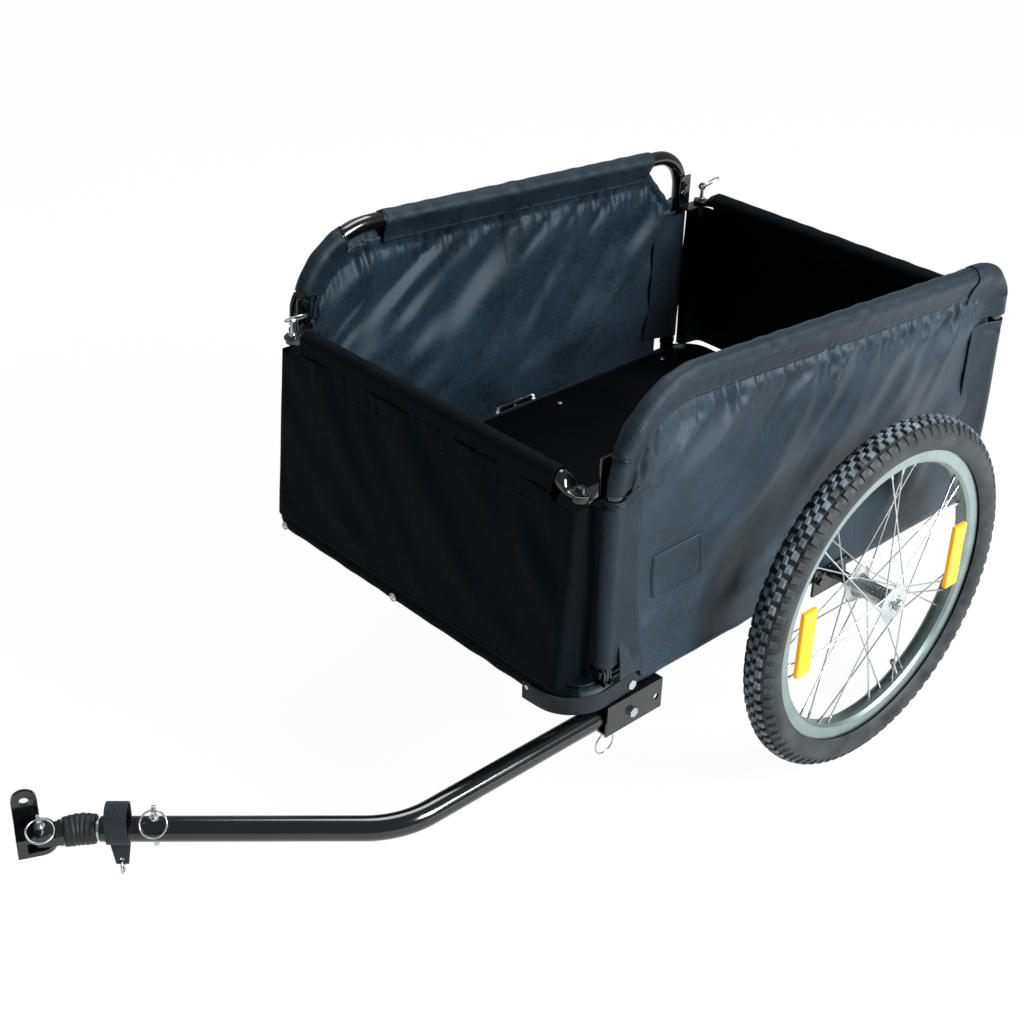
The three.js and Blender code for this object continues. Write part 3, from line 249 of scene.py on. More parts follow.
def complete(tree, shader, share, tones, shine, relief, levels=None):
    """Joins a finish's patterns to its shader. Two tones are mixed by a share, the roughness
    follows a pattern, given as (pattern, its low, its high, roughness there, roughness there),
    and relief is (height, strength, distance in metres)."""
    tone = add_node(tree, "ShaderNodeMix", {"data_type": "RGBA"},
                    {0: share, 6: colour(tones[0]), 7: colour(tones[1])})
    rough = add_node(tree, "ShaderNodeMapRange", inputs=dict(enumerate(shine)))
    bump = add_node(tree, "ShaderNodeBump", inputs=dict(zip(("Height", "Strength", "Distance"), relief)))
    set_inputs(tree, shader, {"Base Color": tone.outputs[2], "Roughness": rough.outputs[0],
                              "Normal": bump.outputs[0], **(levels or {})})


def per_mm(size):
    """A texture's scale for features of this size in millimetres, on coordinates in metres."""
    return 1000.0 / size


def axle_radius(tree, place):
    """Each point's distance from the wheels' axle, in metres."""
    from_axle = add_node(tree, "ShaderNodeVectorMath", {"operation": "SUBTRACT"},
                         {0: place, 1: (AXLE_X * MM, 0, AXLE_Z * MM)})
    flat = add_node(tree, "ShaderNodeVectorMath", {"operation": "MULTIPLY"},
                    {0: from_axle.outputs[0], 1: (1, 0, 1)})
    return add_node(tree, "ShaderNodeVectorMath", {"operation": "LENGTH"}, {0: flat.outputs[0]}).outputs["Value"]


def chequer(tree, coordinates, size):
    """sin(u) sin(v), with both in half turns per size in millimetres: humps and hollows in turn."""
    apart = add_node(tree, "ShaderNodeSeparateXYZ", inputs={0: coordinates})
    waves = []
    for k in (0, 1):
        turns = add_node(tree, "ShaderNodeMath", {"operation": "MULTIPLY"},
                         {0: apart.outputs[k], 1: math.pi * per_mm(size)})
        waves.append(add_node(tree, "ShaderNodeMath", {"operation": "SINE"}, {0: turns.outputs[0]}).outputs[0])
    return add_node(tree, "ShaderNodeMath", {"operation": "MULTIPLY"}, dict(enumerate(waves))).outputs[0]


print("scale of a 4 mm pattern:", per_mm(4))

# %% [markdown]
# Gloss black powder coat on steel tube. It levels out while it bakes, which leaves a faint
# orange peel about 4 mm across, and dust dulls it in patches 70 mm across.

# %% Gloss black coat
gloss_black, tree, shader, place = new_finish("gloss_black_powder_coat")
dust = add_node(tree, "ShaderNodeTexNoise", inputs={"Vector": place, "Scale": per_mm(70), "Detail": 5.0})
peel = add_node(tree, "ShaderNodeTexNoise", inputs={"Vector": place, "Scale": per_mm(4), "Detail": 2.0})
complete(tree, shader, dust.outputs[0], ("#040506", "#0c0f11"), (dust.outputs[0], 0.3, 0.7, 0.09, 0.15),
         (peel.outputs[0], 0.03, 0.0004), {"Specular IOR Level": 0.6})
print("frame finish:", gloss_black.name)

# %% [markdown]
# Bright zinc plate on bolts, pins and rings. The plate has fine crystals, drawn here 2 mm across
# so that they show, and a thin blue-grey tone where it has been handled. The bolts of the folding
# joints have black zinc.

# %% Zinc plate
def plated(name, tones, smoothest):
    """Plated steel: two tones by handling, and crystals that vary the roughness and the bump."""
    made, tree, shader, place = new_finish(name)
    crystals = add_node(tree, "ShaderNodeTexVoronoi", inputs={"Vector": place, "Scale": per_mm(2)})
    handled = add_node(tree, "ShaderNodeTexNoise", inputs={"Vector": place, "Scale": per_mm(9), "Detail": 3.0})
    away = crystals.outputs["Distance"]
    complete(tree, shader, handled.outputs[0], tones, (away, 0.0, 0.8, smoothest, smoothest + 0.16),
             (away, 0.05, 0.0003), {"Metallic": 1.0})
    return made


zinc_plate = plated("bright_zinc_plate", ("#9fa8ab", "#d3d7d6"), 0.2)
black_zinc = plated("black_zinc_plate", ("#1d2124", "#32383b"), 0.3)
print("zinc finishes:", zinc_plate.name, black_zinc.name)

# %% [markdown]
# Satin anodised aluminium on the rims. The extrusion leaves lines round the wheel, drawn as
# noise that is long round the rim and 0.8 mm wide across it: it reads only the distance from the
# axle and the place along it.

# %% Rim aluminium
rim_alloy, tree, shader, place = new_finish("satin_anodised_aluminium")
apart = add_node(tree, "ShaderNodeSeparateXYZ", inputs={0: place})
lines_at = add_node(tree, "ShaderNodeCombineXYZ", inputs={0: axle_radius(tree, place), 1: apart.outputs[1]})
lines = add_node(tree, "ShaderNodeTexNoise",
                 inputs={"Vector": lines_at.outputs[0], "Scale": per_mm(0.8), "Detail": 1.0})
haze = add_node(tree, "ShaderNodeTexNoise", inputs={"Vector": place, "Scale": per_mm(30), "Detail": 4.0})
complete(tree, shader, haze.outputs[0], ("#7b8c8a", "#a0b0ae"), (lines.outputs[0], 0.3, 0.7, 0.34, 0.5),
         (lines.outputs[0], 0.12, 0.0002), {"Metallic": 1.0})
print("rim finish:", rim_alloy.name)

# %% [markdown]
# The box is sewn from polyester cloth of thick yarn, coated on the inside. Its plain weave has
# about 20 yarns to the centimetre. That is too fine for a picture of the whole trailer, so it is
# drawn 1.5 mm wide. The yarns lie along the cloth's own two directions, so the pattern reads the
# UV map, which is in metres. The cloth has a soft satin gloss, handling marks 90 mm across and
# slubs of 4 mm. Five finishes share it: the side cloth, the same in darker tones for the sleeves
# and darker still for the gates, both as painted shade, the webbing and the sewing thread.

# %% Woven cloth
def woven(name, tones, yarn_mm, gloss, sheen, relief, shine_level):
    """Plain weave, with a colour that drifts between two tones with the handling and the slubs."""
    made, tree, shader, place = new_finish(name)
    cloth_uv = add_node(tree, "ShaderNodeUVMap", {"uv_map": "cloth"})
    weave = chequer(tree, cloth_uv.outputs[0], yarn_mm)
    marks = add_node(tree, "ShaderNodeTexNoise",
                     inputs={"Vector": place, "Scale": per_mm(90), "Detail": 6.0, "Roughness": 0.6})
    slubs = add_node(tree, "ShaderNodeTexNoise", inputs={"Vector": place, "Scale": per_mm(4), "Detail": 3.0})
    both = add_node(tree, "ShaderNodeMath", {"operation": "MULTIPLY_ADD"},
                    {0: slubs.outputs[0], 1: 0.9, 2: marks.outputs[0]})
    share = add_node(tree, "ShaderNodeMapRange", inputs={0: both.outputs[0], 1: 0.72, 2: 1.18})
    height = add_node(tree, "ShaderNodeMath", {"operation": "MULTIPLY_ADD"},
                      {0: slubs.outputs[0], 1: 0.8, 2: weave})
    complete(tree, shader, share.outputs[0], tones, (both.outputs[0], 0.4, 1.0, gloss - 0.06, gloss + 0.08),
             (height.outputs[0], relief, 0.0004),
             {"Specular IOR Level": shine_level, "Sheen Weight": sheen, "Sheen Roughness": 0.45,
              "Sheen Tint": colour("#9fb0bd"), "Specular Tint": colour("#cfe0ea")})
    return made


side_cloth = woven("charcoal_polyester_cloth", ("#0c161d", "#1d2d39"), 1.5, 0.38, 0.06, 0.35, 0.44)
# The sleeves take the side cloth in darker tones: painted shade over the whole sleeve.
shaded_sleeve_cloth = woven("charcoal_polyester_painted_shade", ("#091218", "#16232d"), 1.5, 0.42, 0.05, 0.35, 0.34)
# The gates take the cloth in darker tones still: painted shade on faces turned away from the side lamp. Their sleeves
# and stitches, the corner skirts and the hem's ends share it.
gate_cloth = woven("polyester_cloth_with_painted_shade", ("#03070a", "#080d11"), 1.5, 0.66, 0.0, 0.35, 0.06)
webbing = woven("black_polyester_webbing", ("#171b1f", "#252b31"), 2.2, 0.6, 0.08, 0.8, 0.35)
thread = woven("bonded_nylon_thread", ("#2a3138", "#3d464e"), 1.0, 0.5, 0.1, 0.3, 0.4)
print("woven finishes:", [m.name for m in (side_cloth, shaded_sleeve_cloth, gate_cloth, webbing, thread)])

# %% [markdown]
# Tyre rubber is matt black with carbon, and it goes grey with road dust in patches. The grey grows
# with the distance from the axle, most on the blocks' tops, where it is partly dust and partly
# painted highlight. The mould leaves a fine grain, drawn 1.2 mm across. The neck is the same
# rubber, cleaner and smoother.

# %% Rubber
def rubber(name, tones, dust_mm, gloss, dust_and_highlight_from=None):
    """Moulded rubber: a dark tone and a lighter one, mixed by noise, with a fine grain in the bump.
    On a tyre the lighter tone lies on the rubber further from the axle than a given radius: dust,
    and on the blocks' tops painted highlight as well. The rubber nearer the axle keeps little of it."""
    made, tree, shader, place = new_finish(name)
    dust = add_node(tree, "ShaderNodeTexNoise",
                    inputs={"Vector": place, "Scale": per_mm(dust_mm), "Detail": 6.0, "Roughness": 0.65})
    share = add_node(tree, "ShaderNodeMapRange", inputs={0: dust.outputs[0], 1: 0.35, 2: 0.72})
    if dust_and_highlight_from:
        dust_and_highlight = add_node(tree, "ShaderNodeMapRange", inputs={0: axle_radius(tree, place), 1: dust_and_highlight_from * MM,
                                                            2: (dust_and_highlight_from + 4) * MM, 3: 0.15, 4: 1.0})
        share = add_node(tree, "ShaderNodeMath", {"operation": "MULTIPLY"},
                         {0: share.outputs[0], 1: dust_and_highlight.outputs[0]})
    grain = add_node(tree, "ShaderNodeTexNoise", inputs={"Vector": place, "Scale": per_mm(1.2), "Detail": 2.0})
    complete(tree, shader, share.outputs[0], tones, (dust.outputs[0], 0.3, 0.7, gloss - 0.05, gloss + 0.1),
             (grain.outputs[0], 0.25, 0.0003), {"Specular IOR Level": 0.35})
    return made


# The light blue-grey tone is dust, and on the blocks' tops painted highlight as well.
tyre_rubber = rubber("carbon_black_tyre_rubber", ("#0f1315", "#84939d"), 30, 0.55, dust_and_highlight_from=243.5)
neck_rubber = rubber("moulded_neck_rubber", ("#0d0f11", "#1b1f21"), 25, 0.5)
print("rubber finishes:", tyre_rubber.name, neck_rubber.name)

# %% [markdown]
# The floor board is plywood with a black film that is pressed on under a wire mesh. The mesh
# leaves small square dimples, drawn 5 mm apart. Scuffs make it paler in patches.

# %% Floor board film
film_board, tree, shader, place = new_finish("film_faced_plywood")
scuffs = add_node(tree, "ShaderNodeTexNoise",
                  inputs={"Vector": place, "Scale": per_mm(120), "Detail": 8.0, "Roughness": 0.7})
share = add_node(tree, "ShaderNodeMapRange", inputs={0: scuffs.outputs[0], 1: 0.4, 2: 0.75})
complete(tree, shader, share.outputs[0], ("#030406", "#080b0e"), (scuffs.outputs[0], 0.3, 0.7, 0.5, 0.7),
         (chequer(tree, place, 5), 0.3, 0.0004), {"Specular IOR Level": 0.04})
print("board finish:", film_board.name)

# %% [markdown]
# The reflectors are clear amber acrylic over rows of corner prisms, 3 mm across. The prisms send
# light back, which makes the plastic look bright from every side, so a little of its own light
# is added.

# %% Amber prisms
amber_prisms, tree, shader, place = new_finish("amber_acrylic_prisms")
cells = add_node(tree, "ShaderNodeTexVoronoi", {"feature": "F1"},
                 {"Vector": place, "Scale": per_mm(3), "Randomness": 0.0})
share = add_node(tree, "ShaderNodeMapRange", inputs={0: cells.outputs["Distance"], 1: 0.1, 2: 0.75})
tone = add_node(tree, "ShaderNodeMix", {"data_type": "RGBA"},
                {0: share.outputs[0], 6: colour("#ffbe2e"), 7: colour("#f0a000")})
bump = add_node(tree, "ShaderNodeBump",
                inputs={"Height": cells.outputs["Distance"], "Strength": 0.5, "Distance": 0.0006})
set_inputs(tree, shader, {"Base Color": tone.outputs[2], "Roughness": 0.16, "Normal": bump.outputs[0],
                          "Emission Color": tone.outputs[2], "Emission Strength": 0.27,
                          "Specular IOR Level": 0.3})
print("reflector finish:", amber_prisms.name)

# %% [markdown]
# Each material slot of the model now gets its finish. Pieces in the woven slots also need a UV map.

# %% Finish of each slot
finish_of_slot = {"frame_paint": gloss_black, "zinc": zinc_plate, "rim_alloy": rim_alloy,
                  "side_cloth": side_cloth, "gate_cloth": gate_cloth, "webbing": webbing,
                  "tyre": tyre_rubber, "neck_rubber": neck_rubber, "board": film_board, "amber": amber_prisms}
WOVEN_SLOTS = ("webbing", "side_cloth", "gate_cloth")
print("finishes:", sorted(m.name for m in finish_of_slot.values()))

# %% [markdown]
# ## Shape tools
# Tubes are bent from straight lengths, so their middle lines are straight runs joined by arcs. They
# could be drawn as curves in Blender, but worked out here they can be measured too, and a section
# can change along them.

# %% Paths and sections
def unit(vector):
    """A vector divided by its length."""
    return np.asarray(vector, float) / np.linalg.norm(vector)


def smooth(share):
    """3 s^2 - 2 s^3 of a share held between 0 and 1."""
    s = np.clip(share, 0, 1)
    return s * s * (3 - 2 * s)


def lengths_along(path):
    """The length of a path up to each of its points."""
    return np.r_[0, np.cumsum(np.linalg.norm(np.diff(path, axis=0), axis=1))]


def directions(path):
    """The unit direction of an open path at each of its points."""
    tangents = np.gradient(path, axis=0)
    return tangents / np.linalg.norm(tangents, axis=1, keepdims=True)


def bent_path(corners, radii, degrees=4.0, closed=False):
    """Straight runs joined by arcs. A turn t of radius r leaves its corner by r tan(t / 2), and a
    point of the arc is centre - inward r cos(a) + before r sin(a) for a from 0 to t."""
    corners = np.asarray(corners, float)
    count = len(corners)
    points = [] if closed else [corners[0]]
    for k in range(0 if closed else 1, count if closed else count - 1):
        before, after = unit(corners[k] - corners[k - 1]), unit(corners[(k + 1) % count] - corners[k])
        turn = math.acos(np.clip(before @ after, -1, 1))
        inward = unit(after - before * (before @ after))
        centre = corners[k] - before * radii[k] * math.tan(turn / 2) + inward * radii[k]
        for a in np.linspace(0, turn, max(2, math.ceil(math.degrees(turn) / degrees) + 1)):
            points.append(centre - inward * radii[k] * math.cos(a) + before * radii[k] * math.sin(a))
    return np.array(points if closed else points + [corners[-1]])


def spaced(path, step):
    """The same path in even steps along its length, and the length at each point."""
    along = lengths_along(path)
    stations = np.linspace(0, along[-1], max(2, round(along[-1] / step) + 1))
    return np.stack([np.interp(stations, along, path[:, k]) for k in range(3)], 1), stations


def oval(half_a, half_b, power=2.0, sides=28):
    """Points (a, b) of a superellipse: each is a half size times the 2 / power root of cos or sin.
    Half sizes may be arrays, one value to a station."""
    t = 2 * math.pi * np.arange(sides) / sides
    root = 2 / np.asarray(power, float)[..., None]
    c, s = (np.sign(f) * np.abs(f) ** root for f in (np.cos(t), np.sin(t)))
    return np.stack([np.asarray(half, float)[..., None] * f for half, f in ((half_a, c), (half_b, s))], -1)


print("points of a round section:", len(oval(11.0, 11.0)))

# %% [markdown]
# A grid of points, rows by columns, becomes a surface. A section swept along a path makes tubes
# and bands, a profile turned about an axis makes round parts, and a flat outline given a
# thickness makes plates.

# %% Surfaces
def grid(points, around=False, ends=False):
    """Faces over rows and columns of points. around joins the last column to the first, and ends
    closes the first and the last row."""
    rows, columns = points.shape[:2]
    r, c = np.meshgrid(np.arange(rows - 1), np.arange(columns if around else columns - 1), indexing="ij")
    a, b = r * columns + c, r * columns + (c + 1) % columns
    faces = np.stack([a, b, b + columns, a + columns], -1).reshape(-1, 4).tolist()
    if ends:
        faces += [list(range(columns)), list(range((rows - 1) * columns, rows * columns))]
    return points.reshape(-1, 3), faces


def sweep(path, side, section, closed=False, ends=True):
    """A section of points (a, b) carried along a path: point = path + a normal + b side, where
    normal = side x tangent."""
    path = np.asarray(path, float)
    tangents = directions(path)
    if closed:
        tangents = np.roll(path, -1, 0) - np.roll(path, 1, 0)
        tangents = tangents / np.linalg.norm(tangents, axis=1, keepdims=True)
    normal = np.cross(side, tangents)
    section = np.broadcast_to(section, (len(path), *np.shape(section)[-2:]))
    points = path[:, None] + section[..., :1] * normal[:, None] + section[..., 1:] * np.asarray(side, float)
    if closed:
        points = np.concatenate([points, points[:1]])
    return grid(points, around=True, ends=ends and not closed)


def turned(profile, centre, axis, sides=48):
    """A closed profile of (radius, distance along) turned about an axis through a centre."""
    axis = unit(axis)
    first = unit(np.cross(axis, (0.31, 0.2, 0.93) if abs(axis[2]) < 0.9 else (0, 1, 0)))
    angles = 2 * math.pi * np.arange(sides + 1) / sides
    ring = np.cos(angles)[:, None] * first + np.sin(angles)[:, None] * np.cross(axis, first)
    profile = np.asarray(profile, float)
    points = np.asarray(centre, float) + profile[None, :, :1] * ring[:, None] + profile[None, :, 1:] * axis
    return grid(points, around=True)


def rod(start, end, radius, edge=0.0, sides=24):
    """A round bar with its end edges cut at 45 degrees."""
    start, end = np.asarray(start, float), np.asarray(end, float)
    long = np.linalg.norm(end - start)
    profile = [(0, 0), (radius - edge, 0), (radius, edge),
               (radius, long - edge), (radius - edge, long), (0, long)]
    return turned(profile, start, end - start, sides)


def both_sides(half):
    """The first half of a profile of (radius, distance along), and its other half mirrored."""
    return half + [(radius, -along) for radius, along in half[::-1]]


def plate(outline, along, low, high):
    """A flat outline of points given a thickness along a vector."""
    outline = np.asarray(outline, float)
    along = np.asarray(along, float)
    return grid(np.stack([outline + along * low, outline + along * high]), around=True, ends=True)


print("points and faces of a rod:", [len(part) for part in rod((0, 0, 0), (0, 0, 10), 11)])

# %% [markdown]
# Surfaces become a piece when they are joined into one mesh, given a finish and handed over with
# the body they ride on. Small drilled parts keep the model's own solid, with softened edges: their
# holes and flats would take many lines to draw again.

# %% Pieces
def new_mesh(name, points, faces):
    """A mesh of points in workshop millimetres: each is moved to the frame and put in metres."""
    mesh = bpy.data.meshes.new(name)
    mesh.from_pydata(in_frame(points).tolist(), [], faces)
    return mesh


def values_of(items, what, kind):
    """One property of all items of a mesh, read as one flat array of numbers."""
    values = np.empty(len(items) * (3 if what in ("normal", "co") else 1), kind)
    items.foreach_get(what, values)
    return values


def box_uv(mesh):
    """A UV map in metres from each face's own flattest view: the two axes beside its normal's
    largest."""
    layer = mesh.uv_layers.new(name="cloth")
    normals = values_of(mesh.polygons, "normal", np.float32).reshape(-1, 3)
    points = values_of(mesh.vertices, "co", np.float32).reshape(-1, 3)
    other_axes = np.array([(1, 2), (0, 2), (0, 1)])[np.abs(normals).argmax(1)]
    other_axes = np.repeat(other_axes, values_of(mesh.polygons, "loop_total", int), 0)
    corner_points = points[values_of(mesh.loops, "vertex_index", int)]
    layer.data.foreach_set("uv", np.take_along_axis(corner_points, other_axes, 1).ravel())


def hand_over(name, mesh, body, slot, stands_for, finish=None, bevel=None, segments=2):
    """Names a mesh as a piece: gives it a finish, a body, a material slot and softened edges. A
    piece that bends between two bodies is given none here."""
    mesh.materials.clear()
    mesh.materials.append(finish or finish_of_slot[slot])
    made = bpy.data.objects.new(name, mesh)
    scene.collection.objects.link(made)
    if bevel:
        edges = made.modifiers.new("edges", "BEVEL")
        edges.width = bevel * MM
        edges.segments = segments
        edges.limit_method = "ANGLE"
        edges.angle_limit = math.radians(40)
        edges.harden_normals = True
    if body:
        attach(made, body)
    if stands_for:
        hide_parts(*stands_for)
    return made


def joined(mesh, slot, sharp, tidy):
    """Merges a mesh's near points, tidies it, keeps edges sharper than an angle sharp, and gives
    woven pieces the cloth's UV map."""
    work = bmesh.new()
    work.from_mesh(mesh)
    bmesh.ops.remove_doubles(work, verts=work.verts, dist=1e-6)
    tidy(work)
    work.to_mesh(mesh)
    work.free()
    mesh.shade_smooth()
    mesh.set_sharp_from_angle(angle=math.radians(sharp))
    if slot in WOVEN_SLOTS:
        box_uv(mesh)
    return mesh


def faces_outward(work):
    """Turns every face so that its normal points away from the inside."""
    bmesh.ops.recalc_face_normals(work, faces=work.faces)


def faces_joined(work):
    """Joins neighbouring faces that are within one degree of flat."""
    bmesh.ops.dissolve_limit(work, angle_limit=math.radians(1), verts=work.verts, edges=work.edges)


def piece(name, surfaces, body, slot, stands_for=(), finish=None, bevel=None, sharp=40.0):
    """Surfaces in millimetres joined into one piece, with its faces turned outward."""
    start, points, faces = 0, [], []
    for own_points, own_faces in surfaces:
        points.append(own_points)
        faces += [[i + start for i in face] for face in own_faces]
        start += len(own_points)
    mesh = joined(new_mesh(name, np.concatenate(points), faces), slot, sharp, faces_outward)
    return hand_over(name, mesh, body, slot, stands_for, finish, bevel)


def softened(node, edge=0.6, segments=2, finish=None):
    """A copy of a model's solid with its flat faces joined and its edges rounded."""
    mesh = nodes[node].data.copy()
    mesh.name = node + "_finished"
    slot = slot_of_node[node]
    joined(mesh, slot, 40, faces_joined)
    return hand_over(mesh.name, mesh, body_of_node[node], slot, [node], finish, bevel=edge, segments=segments)


print("pieces are given to bodies:", len(set(body_of_node.values())))

# %% [markdown]
# ## Frame
# Every tube is 22 mm steel except the three floor bearers of 16 mm. The ends of the hoops and of
# the cross bars are pressed flat, so a section there goes from a circle to a flat oval. The
# hoops' feet turn on bolts between two ears of the base tube. Sections swept along the tubes'
# middle lines give the presses' soft change of shape, which a plain curve's round bevel can't.

# %% Base frame
TUBE_R, BEARER_R, CORNER_R = 11.0, 8.0, 42.0
SIDE_Y, RAIL_Z = 294.0, 246.0
FRONT_LEG, REAR_LEG = 419.0, -329.0
RAIL_FRONT, RAIL_REAR = 466.0, -376.0
PIVOT_Z, EAR_HALF, EAR_THICK = 273.0, 9.0, 3.0
base_corners = [(RAIL_FRONT, SIDE_Y, RAIL_Z), (RAIL_REAR, SIDE_Y, RAIL_Z),
                (RAIL_REAR, -SIDE_Y, RAIL_Z), (RAIL_FRONT, -SIDE_Y, RAIL_Z)]
base_loop = bent_path(base_corners, [CORNER_R] * 4, closed=True)
surfaces = [sweep(base_loop, (0, 0, 1), oval(TUBE_R, TUBE_R), closed=True)]
for x in (-210, 0, 230):
    surfaces.append(rod((x, -SIDE_Y, RAIL_Z + 3), (x, SIDE_Y, RAIL_Z + 3), BEARER_R))
half_turn = np.linspace(0, math.pi, 17)
ear_top = [(-EAR_HALF * math.cos(a), PIVOT_Z + EAR_HALF * math.sin(a)) for a in half_turn]
ear = [(-EAR_HALF, RAIL_Z + 5), *ear_top, (EAR_HALF, RAIL_Z + 5)]
for x in (FRONT_LEG, REAR_LEG):
    for y in (SIDE_Y, -SIDE_Y):
        for low in (-6.5, 3.5):
            surfaces.append(plate([(x, y + b, z) for b, z in ear], (1, 0, 0), low, low + EAR_THICK))
piece("base_frame_finished", surfaces, "chassis", "frame_paint", ["base_frame"], bevel=0.5)
print("base loop, mm round:", round(lengths_along(base_loop)[-1]))

# %% [markdown]
# A side hoop goes up from the front foot, back over the top with a large bend in front and a small
# one behind, and down to the rear foot. Below 286 mm it is pressed to a flat oval 6 mm thick.

# %% Side hoops
HOOP_FOOT_Z = 264.0


def hoop_path(y):
    """The hoop's middle line from the front foot up, back and down to the rear foot."""
    corners = [(FRONT_LEG, y, HOOP_FOOT_Z), (FRONT_LEG, y, 641), (REAR_LEG, y, 594), (REAR_LEG, y, HOOP_FOOT_Z)]
    return bent_path(corners, [0, 120, 58, 0])


for side, y in (("left", SIDE_Y), ("right", -SIDE_Y)):
    path = spaced(hoop_path(y), 6)[0]
    round_share = smooth((path[:, 2] - 286) / 26)
    thick, wide = (flat + (TUBE_R - flat) * round_share for flat in (3, 9.9))
    piece(side + "_hoop_tube", [sweep(path, (0, 1, 0), oval(thick, wide, 4 - 2 * round_share))],
          side + "_side", "frame_paint", [side + "_side_hoop"], bevel=0.6)
print("hoop tube, mm long:", round(lengths_along(hoop_path(SIDE_Y))[-1]))

# %% [markdown]
# A cross bar is straight, with both ends pressed to 5 mm, lowered by 8.5 mm and rounded off, so
# that they lie on the brackets' shelves.

# %% Cross bars
BAR_Z, BAR_HALF = 525.0, 282.0
BAR_X = {"front": 447.0, "rear": -357.0}
for end, x in BAR_X.items():
    path = spaced(np.array([(x, -BAR_HALF, 0), (x, BAR_HALF, 0)], float), 4)[0]
    out = np.abs(path[:, 1])
    flat = smooth((out - 237) / 20)
    path[:, 2] = BAR_Z - 8.5 * flat
    tip = np.clip(out - (BAR_HALF - TUBE_R), 0, TUBE_R) / TUBE_R
    rounding = np.sqrt(np.clip(1 - tip ** 2, 0.02, 1))
    section = oval(TUBE_R - (TUBE_R - 2.5) * flat, TUBE_R * rounding, 2 + 3 * flat)
    piece(end + "_bar_tube", [sweep(path, (1, 0, 0), section)], body_of_node[end + "_bar"], "frame_paint",
          [end + "_bar"], bevel=0.5)
print("cross bars at x:", BAR_X)

# %% [markdown]
# The small fittings keep the model's solids, with each edge rounded by half a millimetre or so.
# The pull rings are drawn again as fine wire: a ring's middle, plane and radius are measured on
# the model's own ring, as the mean of its points and their flattest direction.

# %% Fittings
def measured_ring(node, wire):
    """A wire ring where the model has one: the middle is the mean of its points, the axis their
    direction of least spread, and the radius their mean distance from that axis."""
    points = np.array([v.co for v in nodes[node].data.vertices]) / MM - (AXLE_X, 0, 0)
    middle = points.mean(0)
    spread = points - middle
    axis = np.linalg.svd(spread, full_matrices=False)[2][2]
    radius = np.linalg.norm(spread - (spread @ axis)[:, None] * axis, axis=1).mean()
    t = 2 * math.pi * np.arange(16) / 16
    profile = np.stack([radius + wire * np.cos(t), wire * np.sin(t)], 1)
    profile = np.concatenate([profile, profile[:1]])
    piece(node + "_wire", [turned(profile, middle, axis, 72)], body_of_node[node], slot_of_node[node], [node])


for node in nodes:
    if node.endswith("_ring"):
        measured_ring(node, 1.1)
measured_ring("strap_hook", 1.5)
for node in nodes:
    if node.endswith(("_bolt", "_pin", "_bolt_upper", "_bolt_lower")):
        softened(node, 0.5, finish=black_zinc if node.endswith(("pivot_bolt", "bar_bolt")) else None)
    elif node.endswith(("_bracket", "_block")):
        softened(node, 0.8)
softened("coupling_eye", 0.9)
softened("safety_strap", 0.5)
bpy.context.view_layer.update()

# %% [markdown]
# ## Tow arm
# The arm is 28.6 mm tube with a straight run along the left side, one bend inward of 41 degrees,
# and an open end that holds the coupling. Its end is one grid: the last rows of the sweep turn
# over the lip and go down the bore.

# %% Tow arm
ARM_Z, ARM_START = 208.0, 353.0
ARM_R, BORE_R, BORE_DEPTH = 14.3, 12.0, 95.0
arm_turn = math.radians(41)
arm_way = np.array([math.cos(arm_turn), -math.sin(arm_turn), 0])
arm_corner = np.array([731, SIDE_Y, ARM_Z], float)
arm_end = arm_corner + 330 * arm_way
line = spaced(bent_path([(ARM_START, SIDE_Y, ARM_Z), arm_corner, arm_end], [0, 110, 0], 2), 7)[0]
circle = oval(1.0, 1.0, 2, 40)
lip = [(ARM_R, -1.2), (ARM_R - 0.35, -0.35), (ARM_R - 1.2, 0), (BORE_R + 0.5, 0), (BORE_R, -0.5),
       (BORE_R, -BORE_DEPTH), (0, -BORE_DEPTH)]
outside = sweep(line, (0, 0, 1), circle * ARM_R, ends=False)[0].reshape(len(line), -1, 3)
inside = [arm_end + arm_way * back + (outside[-1] - arm_end) * radius / ARM_R for radius, back in lip]
tube = grid(np.concatenate([outside[:-1], inside]), around=True, ends=False)
bush = rod((ARM_START, SIDE_Y, ARM_Z - ARM_R), (ARM_START, SIDE_Y, ARM_Z + ARM_R), ARM_R, 0.6, 40)
piece("tow_arm_tube", [tube, bush], "arm", "frame_paint", ["tow_arm"])
print("arm's end, mm:", arm_end.round(1))

# %% [markdown]
# The rubber neck is a barrel with three soft ribs, and turns 17 degrees back toward straight
# ahead. It bends between the arm and the coupling, so it is given no body here.

# %% Rubber neck
NECK_HALF = 18.5
hitch_turn = math.radians(24)
hitch_way = np.array([math.cos(hitch_turn), -math.sin(hitch_turn), 0])
neck_start = arm_end + 3.3 * arm_way
neck_middle = neck_start + NECK_HALF * arm_way
neck_end = neck_middle + NECK_HALF * hitch_way
line, stations = spaced(bent_path([neck_start, neck_middle, neck_end], [0, 2 * NECK_HALF, 0], 1), 0.8)
share = stations / stations[-1]
barrel = 15.8 + 2.2 * np.sin(math.pi * share) ** 0.6
ribs = barrel - 0.9 * np.cos(3 * 2 * math.pi * share) ** 2 * np.sin(math.pi * share)
ribs[0] = ribs[-1] = 14.6
neck = piece("coupling_neck_rubber", [sweep(line, (0, 0, 1), circle[None] * ribs[:, None, None])], None,
             "neck_rubber", ["coupling_neck"], sharp=60)
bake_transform(neck)
print("neck, mm long:", round(stations[-1], 1))

# %% [markdown]
# ## Wheels
# The tyre is a turned casing with rows of rubber blocks, five millimetres high. A bump pattern
# would leave the tyre's outline smooth, so the blocks are shapes of their own. Each is a grid of
# three rings with four corners, because there are hundreds of them.

# %% Tyre
RIM_SEAT = 205.0
TYRE_R, TYRE_HALF, BLOCK_HIGH, BLOCK_ROWS = 250.0, 23.5, 5.0, 86
CASING_MIDDLE, CASING_CROWN = RIM_SEAT + 22, TYRE_R - BLOCK_HIGH


